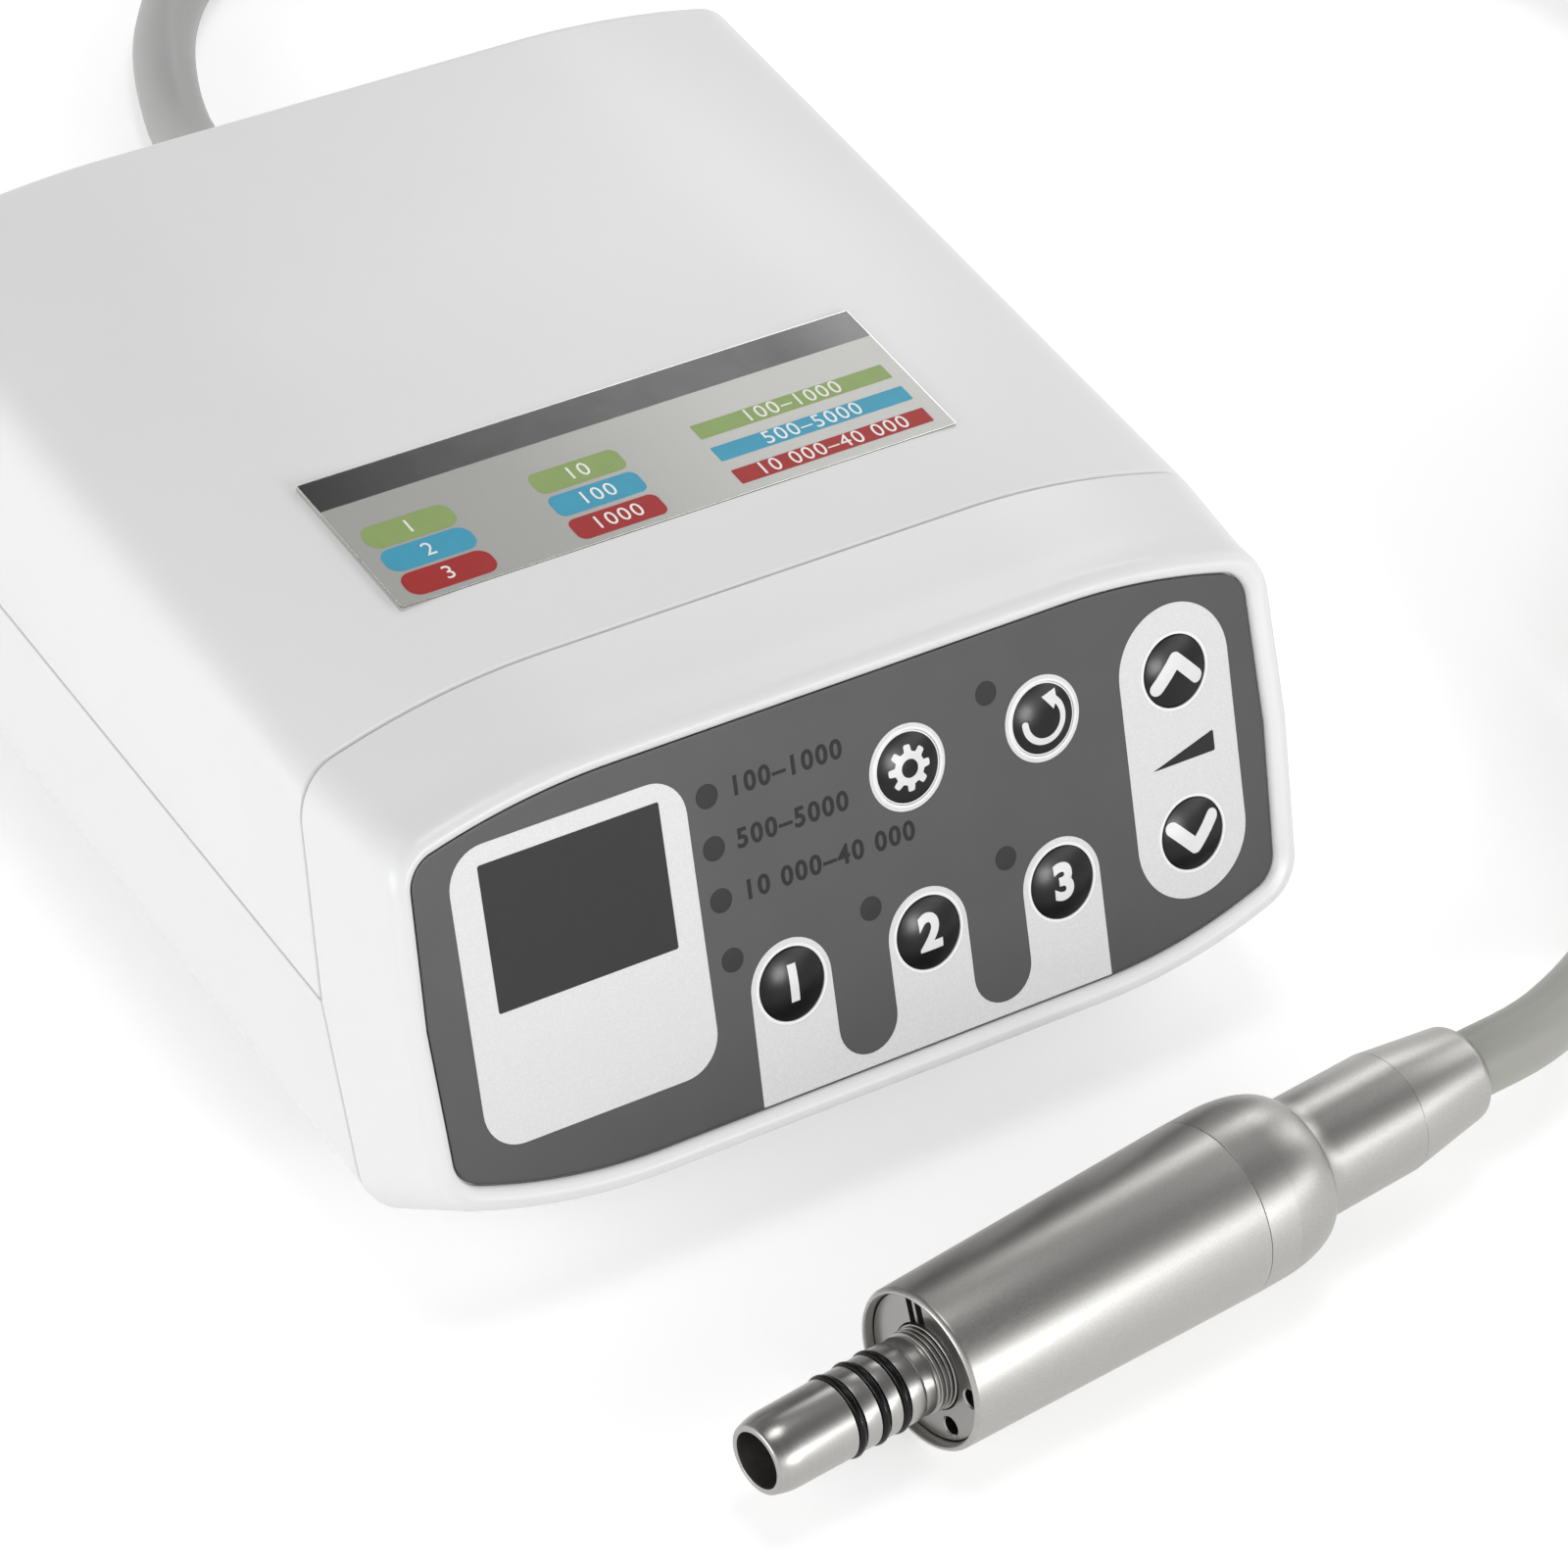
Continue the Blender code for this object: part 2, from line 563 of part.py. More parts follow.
def build_covers():
    """Upper and lower covers, with the posts, pads, pockets and holes that the rest sits in."""
    lower = cover("lower_cover", -1)
    pads = [rod(SCREW_PAD_RADIUS, 16, x, y, SCREW_PAD_BOTTOM, SCREW_PAD_TOP) for x, y in SCREW_PLACES]
    floor = FOOT_HEIGHT + WALL
    posts = [rod(STANDOFF_RADIUS, 12, x, y, floor - SINK, STANDOFF_TOP) for x, y in BOARD_PLACES]
    add(lower, "lower_cover_bosses", pads + posts)
    seat = FOOT_HEIGHT + FOOT_SEAT_DEPTH
    pockets = [rod(FOOT_RADIUS + GAP, 24, x, y, -OVERRUN, seat) for x, y in FOOT_PLACES]
    heads = [rod(SCREW_HEAD_RADIUS + GAP, 16, x, y, -OVERRUN, SCREW_SEAT_Z) for x, y in SCREW_PLACES]
    cut(lower, "lower_cover_pockets", pockets + heads)
    cut(lower, "lower_cover_holes",
        [rod(SCREW_SHANK_RADIUS + GAP, 12, x, y, 0, SCREW_PAD_TOP + OVERRUN) for x, y in SCREW_PLACES])

    upper = cover("upper_cover", 1)
    foot_of_post = SCREW_PAD_TOP + GAP
    add(upper, "upper_cover_posts",
        [rod(POST_RADIUS, 12, x, y, foot_of_post, roof_height(abs(x) + POST_RADIUS, WALL) + SINK)
         for x, y in SCREW_PLACES])
    cut(upper, "upper_cover_screw_holes",
        [rod(SCREW_SHANK_RADIUS + GAP, 12, x, y, foot_of_post - OVERRUN,
             SCREW_SEAT_Z + SCREW_LENGTH + GAP) for x, y in SCREW_PLACES])
    top, label_front = SEAM_Z + BOX_HALF_HEIGHT, BODY_DEPTH * LABEL_PLACE_SHARE
    cut(upper, "label_pocket", [box_loops(
        LABEL_X - LABEL_WIDTH / 2 - GAP, LABEL_X + LABEL_WIDTH / 2 + GAP,
        label_front - GAP, label_front + LABEL_DEPTH + GAP,
        top + LABEL_PROUD - LABEL_THICKNESS - GAP, top + OVERRUN)])
    label_top = top + LABEL_PROUD
    loft("top_label", box_loops(
        LABEL_X - LABEL_WIDTH / 2, LABEL_X + LABEL_WIDTH / 2,
        label_front, label_front + LABEL_DEPTH,
        label_top - LABEL_THICKNESS, label_top), PLATE_METAL)


def build_feet_and_screws():
    foot_top = FOOT_HEIGHT + FOOT_SEAT_DEPTH - GAP
    for number, (x, y) in enumerate(FOOT_PLACES, 1):
        profile = [(0, FOOT_RADIUS - SINK), (SINK, FOOT_RADIUS), (foot_top, FOOT_RADIUS)]
        turned(f"foot_{number}", profile, 24, RUBBER, "Z", location=(x, y, 0))
    head_top = SCREW_SEAT_Z - GAP
    for number, (x, y) in enumerate(SCREW_PLACES, 1):
        profile = [
            (head_top - SCREW_HEAD_HEIGHT, SCREW_HEAD_RADIUS), (head_top, SCREW_HEAD_RADIUS),
            (head_top, SCREW_SHANK_RADIUS), (head_top + SCREW_LENGTH, SCREW_SHANK_RADIUS),
        ]
        turned(f"case_screw_{number}", profile, 12, BRIGHT, "Z", location=(x, y, 0))


def on_face(column_share, row_share):
    return OVERLAY_HALF_WIDTH * column_share, PANEL_HALF_HEIGHT * row_share


LAMP_PLACES = {f"lamp_range_{k}": on_face(RANGE_LAMP_COLUMN_SHARE, row)
               for k, row in enumerate(RANGE_LAMP_ROW_SHARES, 1)}
KEY_PLACES = {f"key_memory_{k}": on_face(column, -KEY_ROW_SHARE)
              for k, column in enumerate(KEY_COLUMN_SHARES[:3], 1)}
for name, column in zip(("key_gear", "key_reverse", "key_speed_up"), KEY_COLUMN_SHARES[1:]):
    KEY_PLACES[name] = on_face(column, KEY_ROW_SHARE)
KEY_PLACES["key_speed_down"] = on_face(KEY_COLUMN_SHARES[3], -KEY_ROW_SHARE)
for lit in ("memory_1", "memory_2", "memory_3", "reverse"):
    key_x, key_v = KEY_PLACES[f"key_{lit}"]
    LAMP_PLACES[f"lamp_{lit}"] = (key_x + LAMP_OFFSET_X, key_v + LAMP_OFFSET_V)

RECESS_DEPTH = OVERLAY_THICKNESS + GAP
PLATE_BACK = RECESS_DEPTH + PLATE_THICKNESS
FLANGE_FRONT = PLATE_BACK + GAP
BOARD_FRONT = FLANGE_FRONT + WINDOW_FLANGE_THICKNESS + GAP + DISPLAY_THICKNESS + GAP


def window_box(margin, z0, z1):
    half_x, half_v = WINDOW_WIDTH / 2 + margin, WINDOW_HEIGHT / 2 + margin
    return box_loops(WINDOW_X - half_x, WINDOW_X + half_x, WINDOW_V - half_v, WINDOW_V + half_v, z0, z1)


def panel_rods(places, radius, sides, z0, z1):
    return [rod(radius, sides, x, v, z0, z1) for x, v in places.values()]


def build_bezel():
    """The bezel is one shell: inside, parting face, outside, lip and recess floor in one chain."""
    parting = BEZEL_DEPTH - GAP / 2
    lip = OVERLAY._replace(
        middle_half=OVERLAY.middle_half + LIP_WIDTH, end_half=OVERLAY.end_half + LIP_WIDTH,
        top=OVERLAY.top + LIP_WIDTH, top_crown=OVERLAY.top_crown + LIP_WIDTH,
        bottom=OVERLAY.bottom + LIP_WIDTH + LIP_BOTTOM_EXTRA,
        bottom_crown=OVERLAY.bottom_crown + LIP_WIDTH, corner=OVERLAY.corner + LIP_WIDTH)
    body = [on_panel((x, h - PANEL_RISE), parting) for x, h in outline(BODY)]
    inner_body = [on_panel((x, h - PANEL_RISE), parting) for x, h in outline(BODY, WALL)]
    inner_lip = [(x, v, -PLATE_BACK) for x, v in outline(lip, WALL)]
    lip_edge = [(x, v, 0) for x, v in outline(lip)]
    share = LIP_WAIST_DEPTH / parting
    waist = []
    for front, rear in zip(lip_edge, body):
        point = Vector(front).lerp(Vector(rear), share)
        inwards = Vector((0, -math.copysign(LIP_WAIST_DIP, point.y), 0)) if front[1] > 0 else Vector()
        waist.append(point + inwards)
    crest = [(x, v, LIP_HEIGHT) for x, v in outline(lip, LIP_CREST_INSET)]
    crest_foot = [(x, v, LIP_HEIGHT / 2) for x, v in outline(OVERLAY, -2 * GAP)]
    recess = [(x, v, -RECESS_DEPTH) for x, v in outline(OVERLAY, -GAP)]
    bezel = loft("front_bezel",
                 [inner_lip, inner_body, body, waist, lip_edge, crest, crest_foot, recess],
                 WHITE, parent=PANEL)
    post_places = {place: on_face(*place) for place in PANEL_POST_SHARES}
    add(bezel, "panel_posts", panel_rods(
        post_places, PANEL_POST_RADIUS, 10, -(BOARD_FRONT - GAP), -(PLATE_BACK - SINK)))
    front, back = OVERRUN, -(PLATE_BACK + OVERRUN)
    cut(bezel, "bezel_holes",
        panel_rods(KEY_PLACES, KEY_RADIUS + GAP, KEY_SIDES, back, front)
        + panel_rods(LAMP_PLACES, LAMP_RADIUS + GAP, LAMP_SIDES, back, front)
        + [window_box(GAP, back, front)])

    film = [[(x, v, z) for x, v in outline(OVERLAY)] for z in (-OVERLAY_THICKNESS, 0)]
    overlay = loft("panel_overlay", film, SLATE, parent=PANEL)
    cut(overlay, "overlay_holes",
        panel_rods(KEY_PLACES, KEY_RADIUS + SLIDE, KEY_SIDES, back, front)
        + panel_rods(LAMP_PLACES, LAMP_RADIUS + SLIDE, LAMP_SIDES, back, front)
        + [window_box(GAP, back, front)])


def build_keys_and_lamps():
    """Domed keys on flanges behind the plate, lamp lenses, and the window over the display."""
    ball = (KEY_RADIUS ** 2 + KEY_DOME ** 2) / (2 * KEY_DOME)
    flange_back = FLANGE_FRONT + KEY_FLANGE_THICKNESS
    profile = [
        (-flange_back, KEY_FLANGE_RADIUS), (-FLANGE_FRONT, KEY_FLANGE_RADIUS), (-FLANGE_FRONT, KEY_RADIUS),
    ]
    for i in range(DOME_STEPS):
        r = KEY_RADIUS * (1 - i / DOME_STEPS)
        profile.append((math.sqrt(ball ** 2 - r ** 2) - ball + KEY_DOME, r))
    for name, (x, v) in KEY_PLACES.items():
        turned(name, profile, KEY_SIDES, BLACK, "Z", parent=PANEL, location=(x, v, 0))
    lamp = [
        (-(FLANGE_FRONT + LAMP_FLANGE_THICKNESS), LAMP_FLANGE_RADIUS), (-FLANGE_FRONT, LAMP_FLANGE_RADIUS),
        (-FLANGE_FRONT, LAMP_RADIUS), (0, LAMP_RADIUS),
    ]
    for name, (x, v) in LAMP_PLACES.items():
        turned(name, lamp, LAMP_SIDES, LENS, "Z", parent=PANEL, location=(x, v, 0))
    window = loft("display_window",
                  window_box(WINDOW_FLANGE, -(FLANGE_FRONT + WINDOW_FLANGE_THICKNESS), -FLANGE_FRONT),
                  SMOKE, parent=PANEL)
    add(window, "window_block", [window_box(0, -(FLANGE_FRONT + SINK), 0)])
    top = FLANGE_FRONT + WINDOW_FLANGE_THICKNESS + GAP
    loft("display_module", box_loops(
        WINDOW_X - DISPLAY_WIDTH / 2, WINDOW_X + DISPLAY_WIDTH / 2,
        WINDOW_V - DISPLAY_HEIGHT / 2, WINDOW_V + DISPLAY_HEIGHT / 2,
        -(top + DISPLAY_THICKNESS), -top), SMOKE, parent=PANEL)
    board_half = OVERLAY_HALF_WIDTH - KEY_BOARD_MARGIN
    board = loft("key_board", box_loops(
        -board_half, board_half, -(PANEL_HALF_HEIGHT - KEY_BOARD_EDGE), PANEL_HALF_HEIGHT - KEY_BOARD_EDGE,
        -(BOARD_FRONT + BOARD_THICKNESS), -BOARD_FRONT), BOARD, parent=PANEL)
    half = SWITCH_SIZE / 2
    plunger_top = FLANGE_FRONT + KEY_FLANGE_THICKNESS + KEY_TRAVEL + SLIDE
    bodies = [box_loops(x - half, x + half, v - half, v + half,
                        -(BOARD_FRONT + SINK), -(BOARD_FRONT - SWITCH_BODY_HEIGHT))
              for x, v in KEY_PLACES.values()]
    add(board, "switch_bodies", bodies)
    add(board, "switch_plungers",
        panel_rods(KEY_PLACES, SWITCH_PLUNGER_RADIUS, 10, -(BOARD_FRONT - SINK), -plunger_top))


def build_electronics():
    z0 = STANDOFF_TOP + GAP
    z1 = z0 + BOARD_THICKNESS
    loft("main_board", box_loops(
        -MAIN_BOARD_HALF_WIDTH, MAIN_BOARD_HALF_WIDTH,
        MAIN_BOARD_Y - MAIN_BOARD_DEPTH / 2, MAIN_BOARD_Y + MAIN_BOARD_DEPTH / 2, z0, z1), BOARD)
    loft("power_module", box_loops(
        MODULE_X - MODULE_WIDTH / 2, MODULE_X + MODULE_WIDTH / 2,
        MAIN_BOARD_Y - MODULE_DEPTH / 2, MAIN_BOARD_Y + MODULE_DEPTH / 2,
        z1 + GAP, z1 + GAP + MODULE_HEIGHT), MODULE)
    sink = loft("heat_sink", box_loops(
        SINK_X - SINK_WIDTH / 2, SINK_X + SINK_WIDTH / 2,
        MAIN_BOARD_Y - SINK_DEPTH / 2, MAIN_BOARD_Y + SINK_DEPTH / 2, z1 + GAP, z1 + GAP + SINK_BASE), ALLOY)
    pitch = (SINK_WIDTH - 2 * SINK) / (SINK_FINS - 1 + FIN_SHARE)
    left, half = SINK_X - SINK_WIDTH / 2 + SINK, SINK_DEPTH / 2 - SINK
    add(sink, "fins", [box_loops(
        left + i * pitch, left + (i + FIN_SHARE) * pitch, MAIN_BOARD_Y - half, MAIN_BOARD_Y + half,
        z1 + GAP + SINK, z1 + GAP + SINK_HEIGHT) for i in range(SINK_FINS)])


def upright_box(x, width, z, height, y0, y1):
    return box_loops(x - width / 2, x + width / 2, y0, y1, z - height / 2, z + height / 2)


def upright_rods(places, radius, sides, y0, y1):
    return [[circle(radius, sides, x, y, z, "Y") for y in (y0, y1)] for x, z in places]


def build_rear():
    """Rear panel with the power inlet, rocker switch, foot control socket and hose gland."""
    section = outline(BODY, WALL + GAP)
    panel = loft("rear_panel",
                 [[(x, y, SEAM_Z + h) for x, h in section] for y in (REAR_INNER_Y, REAR_FACE_Y)], DARK)
    y0, y1 = REAR_INNER_Y - OVERRUN, REAR_FACE_Y + OVERRUN
    cut(panel, "rear_cutouts",
        [upright_box(INLET_X, INLET_WIDTH + 2 * GAP, FITTING_Z, INLET_HEIGHT + 2 * GAP, y0, y1),
         upright_box(SWITCH_X, FRAME_WIDTH + 2 * GAP, FITTING_Z, FRAME_HEIGHT + 2 * GAP, y0, y1)]
        + upright_rods([(SOCKET_X, FITTING_Z)], SOCKET_RADIUS + GAP, 24, y0, y1)
        + upright_rods([(GLAND_X, GLAND_Z)], GLAND_INSIDE_RADIUS + GAP, 24, y0, y1))

    face = REAR_FACE_Y + GAP
    inlet = loft("power_inlet", upright_box(
        INLET_X, INLET_WIDTH + 2 * INLET_FLANGE, FITTING_Z, INLET_HEIGHT + 2 * INLET_FLANGE,
        face, face + INLET_FLANGE_THICKNESS), DARK)
    add(inlet, "inlet_block", [upright_box(
        INLET_X, INLET_WIDTH, FITTING_Z, INLET_HEIGHT, face + SINK - INLET_DEPTH, face + SINK)])
    mouth = face + INLET_FLANGE_THICKNESS
    cut(inlet, "inlet_recess", [upright_box(
        INLET_X, INLET_WIDTH - 2 * INLET_WALL, FITTING_Z, INLET_HEIGHT - 2 * INLET_WALL,
        mouth - INLET_RECESS, mouth + OVERRUN)])
    pins = [(INLET_X + side * PIN_HALF_PITCH, FITTING_Z) for side in (-1, 1)]
    floor = mouth - INLET_RECESS
    add(inlet, "inlet_pins", upright_rods(pins, PIN_RADIUS, 10, floor - SINK, floor + PIN_LENGTH))

    frame = loft("rocker_frame", upright_box(
        SWITCH_X, FRAME_WIDTH + 2 * FRAME_FLANGE, FITTING_Z, FRAME_HEIGHT + 2 * FRAME_FLANGE,
        face, face + FRAME_FLANGE_THICKNESS), DARK)
    add(frame, "frame_block", [upright_box(
        SWITCH_X, FRAME_WIDTH, FITTING_Z, FRAME_HEIGHT, face + SINK - FRAME_DEPTH, face + SINK)])
    axis_y = face
    well_floor = face + SINK - FRAME_DEPTH + FRAME_WALL
    cut(frame, "frame_well", [upright_box(
        SWITCH_X, 2 * (ROCKER_HALF_WIDTH + SLIDE), FITTING_Z, 2 * (ROCKER_RADIUS + SLIDE),
        well_floor, face + OVERRUN)])
    pivots = [[circle(PIVOT_RADIUS + SLIDE, 12, x, axis_y, FITTING_Z, "X")
               for x in (SWITCH_X + side * (ROCKER_HALF_WIDTH - OVERRUN),
                         SWITCH_X + side * (ROCKER_HALF_WIDTH + PIVOT_LENGTH + SLIDE))]
              for side in (-1, 1)]
    cut(frame, "pivot_sockets", pivots)

    arc = [ROCKER_FACE_ANGLE + (math.pi - 2 * ROCKER_FACE_ANGLE) * i / 4 for i in range(5)]
    upper = [(ROCKER_RADIUS * math.cos(a), ROCKER_RADIUS * math.sin(a)) for a in arc]
    front, back = upper[0], upper[-1]
    upper = [((ROCKER_WAIST + front[0]) / 2, front[1] / 2)] + upper + [(back[0], back[1] / 2)]
    side_view = [(ROCKER_WAIST, 0)] + upper + [(back[0], 0)] + [(y, -z) for y, z in upper[::-1]]
    pivot = [(y * PIVOT_RADIUS / math.hypot(y, z), z * PIVOT_RADIUS / math.hypot(y, z)) for y, z in side_view]
    half, reach = ROCKER_HALF_WIDTH, ROCKER_HALF_WIDTH + PIVOT_LENGTH
    stations = ((-reach, pivot), (-half, pivot), (-half, side_view), (half, side_view), (half, pivot), (reach, pivot))
    loft("power_rocker", [[(x, y, z) for y, z in view] for x, view in stations], DARK,
         location=(SWITCH_X, axis_y, FITTING_Z), rotation=(-ROCKER_TILT, 0, 0))

    collar = face + SOCKET_COLLAR_THICKNESS
    bore = collar - SOCKET_BORE_DEPTH
    socket = turned("foot_control_socket", [
        (collar - SOCKET_DEPTH, SOCKET_RADIUS), (face, SOCKET_RADIUS), (face, SOCKET_COLLAR_RADIUS),
        (collar, SOCKET_COLLAR_RADIUS), (collar, SOCKET_BORE_RADIUS), (bore, SOCKET_BORE_RADIUS),
    ], 24, BRIGHT, "Y", location=(SOCKET_X, 0, FITTING_Z))
    spots = [(SOCKET_X + SOCKET_PIN_CIRCLE * math.cos(TURN * (k + 0.5) / SOCKET_PINS),
              FITTING_Z + SOCKET_PIN_CIRCLE * math.sin(TURN * (k + 0.5) / SOCKET_PINS))
             for k in range(SOCKET_PINS)]
    add(socket, "socket_pins", upright_rods(spots, SOCKET_PIN_RADIUS, 8, bore - SINK, collar - SINK))

    tip = REAR_FACE_Y + GLAND_LENGTH
    nut = face + GLAND_NUT_THICKNESS
    bore_radius, step_y = HOSE_RADIUS + GAP, tip - GLAND_HOLD - GAP
    profile = [
        (REAR_INNER_Y - GLAND_INSIDE, GLAND_INSIDE_RADIUS), (face, GLAND_INSIDE_RADIUS),
        (face, GLAND_NUT_RADIUS), (nut, GLAND_NUT_RADIUS),
    ]
    for i in range(GLAND_RIBS):
        slope = (GLAND_TIP_RADIUS - GLAND_INSIDE_RADIUS) / GLAND_RIBS
        rise = (tip - nut) / GLAND_RIBS
        start, r = nut + i * rise, GLAND_INSIDE_RADIUS + i * slope
        profile += [(start, r), (start + rise / 2, r + slope / 2), (start + rise / 2, r + slope / 2 - GLAND_RIB)]
    profile += [(tip, GLAND_TIP_RADIUS - GLAND_RIB), (tip, bore_radius), (step_y, bore_radius),
                (step_y, WIRE_BORE_RADIUS), (REAR_INNER_Y - GLAND_INSIDE, WIRE_BORE_RADIUS)]
    turned("hose_gland", profile, 24, DARK, "Y", hollow=True, location=(GLAND_X, 0, GLAND_Z))


def build_motor_casing():
    """Sleeve, end cap, hose nut, nose and front plate, all turned about the motor's X axis."""
    on_axis = {"parent": MOTOR}
    turned("motor_sleeve", [
        (0, SLEEVE_FRONT_RADIUS - RIM_CHAMFER), (RIM_CHAMFER, SLEEVE_FRONT_RADIUS),
        (SLEEVE_LENGTH, SLEEVE_REAR_RADIUS), (SLEEVE_LENGTH, SLEEVE_BORE_RADIUS), (0, SLEEVE_BORE_RADIUS),
    ], MOTOR_SIDES, STEEL, hollow=True, **on_axis)

    start = SLEEVE_LENGTH + GAP
    shoulder = SLEEVE_LENGTH + CAP_CYLINDER
    spigot = SLEEVE_LENGTH - CAP_SPIGOT
    spigot_radius = SLEEVE_BORE_RADIUS - SLIDE
    pocket = spigot + BEARING_WIDTH + GAP
    drop = SLEEVE_REAR_RADIUS - NECK_RADIUS - NECK_FILLET * FILLET_SHARE
    profile = [(spigot, BEARING_RADIUS + SLIDE), (spigot, spigot_radius), (start, spigot_radius),
               (start, SLEEVE_REAR_RADIUS)]
    for i in range(CAP_DOME_STEPS + 1):
        a = math.pi / 2 * i / CAP_DOME_STEPS
        profile.append((shoulder + CAP_DOME * math.sin(a), SLEEVE_REAR_RADIUS - drop * (1 - math.cos(a))))
    neck = shoulder + CAP_DOME
    for i in range(1, 4):
        a = math.pi / 2 * i / 3
        profile.append((neck + NECK_FILLET * (1 - math.cos(a)),
                        NECK_RADIUS + NECK_FILLET * FILLET_SHARE * (1 - math.sin(a))))
    profile += [(CONE_EDGE, CONE_RADIUS), (CONE_EDGE, WIRE_BORE_RADIUS), (pocket, WIRE_BORE_RADIUS),
                (pocket, BEARING_RADIUS + SLIDE)]
    turned("motor_end_cap", profile, MOTOR_SIDES, STEEL, hollow=True, **on_axis)

    nut_start = CONE_EDGE + GAP
    hose_bore = HOSE_RADIUS + GAP
    turned("hose_nut", [
        (nut_start, WIRE_BORE_RADIUS), (nut_start, CONE_RADIUS), (NUT_END - NUT_CHAMFER, NUT_END_RADIUS),
        (NUT_END, NUT_TIP_RADIUS), (NUT_END, hose_bore), (nut_start + NUT_FLOOR, hose_bore),
        (nut_start + NUT_FLOOR, WIRE_BORE_RADIUS),
    ], MOTOR_SIDES, STEEL, hollow=True, **on_axis)

    plate_back = PLATE_FRONT + PLATE_DEPTH
    root_radius = NOSE_RADIUS * NOSE_ROOT_SHARES[-1][1]
    plate = turned("front_plate", [
        (PLATE_FRONT, root_radius + SLIDE), (PLATE_FRONT, SLEEVE_BORE_RADIUS - SLIDE),
        (plate_back, SLEEVE_BORE_RADIUS - SLIDE), (plate_back, root_radius + SLIDE),
    ], MOTOR_SIDES, BRIGHT, hollow=True, **on_axis)
    cut(plate, "plate_ports",
        [[circle(PORT_RADIUS, 10, x, PORT_CIRCLE * math.cos(a), PORT_CIRCLE * math.sin(a), "X")
          for x in (PLATE_FRONT - OVERRUN, plate_back + OVERRUN)] for a in PORT_ANGLES])
    reach = SLEEVE_BORE_RADIUS + OVERRUN
    cut(plate, "plate_slot", [box_loops(
        PLATE_FRONT - OVERRUN, PLATE_FRONT + SLOT_DEPTH, root_radius - OVERRUN, reach,
        -SLOT_HALF_WIDTH, SLOT_HALF_WIDTH)], rotation=(SLOT_ANGLE, 0, 0))

    back = plate_back + GAP
    flange_back = back + NOSE_FLANGE_THICKNESS
    seat = flange_back - BEARING_WIDTH - GAP
    half_groove = RING_RADIUS + SLIDE
    profile = [(-NOSE_TIP, NOSE_BORE_RADIUS), (-NOSE_TIP, NOSE_TIP_RADIUS), (NOSE_TAPER - NOSE_TIP, NOSE_RADIUS)]
    ring_places = [NOSE_TIP * share for share in RING_PLACE_SHARES]
    for place in ring_places:
        profile += [(place - half_groove, NOSE_RADIUS), (place - half_groove, RING_GROOVE_RADIUS),
                    (place + half_groove, RING_GROOVE_RADIUS), (place + half_groove, NOSE_RADIUS)]
    radius = NOSE_RADIUS
    for place_share, radius_share in NOSE_ROOT_SHARES:
        place = NOSE_TIP * place_share
        profile += [(place, radius), (place, NOSE_RADIUS * radius_share)]
        radius = NOSE_RADIUS * radius_share
    profile += [
        (back, radius), (back, SLEEVE_BORE_RADIUS - SLIDE), (flange_back, SLEEVE_BORE_RADIUS - SLIDE),
        (flange_back, BEARING_RADIUS + SLIDE), (seat, BEARING_RADIUS + SLIDE), (seat, NOSE_INNER_RADIUS),
        (NOSE_BORE_DEPTH - NOSE_TIP, NOSE_INNER_RADIUS), (NOSE_BORE_DEPTH - NOSE_TIP, NOSE_BORE_RADIUS),
    ]
    turned("nose_spigot", profile, NOSE_SIDES, BRIGHT, hollow=True, **on_axis)
    for number, place in enumerate(ring_places, 1):
        section = [(place + RING_RADIUS * math.cos(TURN * k / RING_SIDES),
                    RING_MEAN_RADIUS + RING_RADIUS * math.sin(TURN * k / RING_SIDES))
                   for k in range(RING_SIDES)]
        turned(f"o_ring_{number}", section, NOSE_SIDES, RUBBER, hollow=True, **on_axis)
    return seat, flange_back, spigot


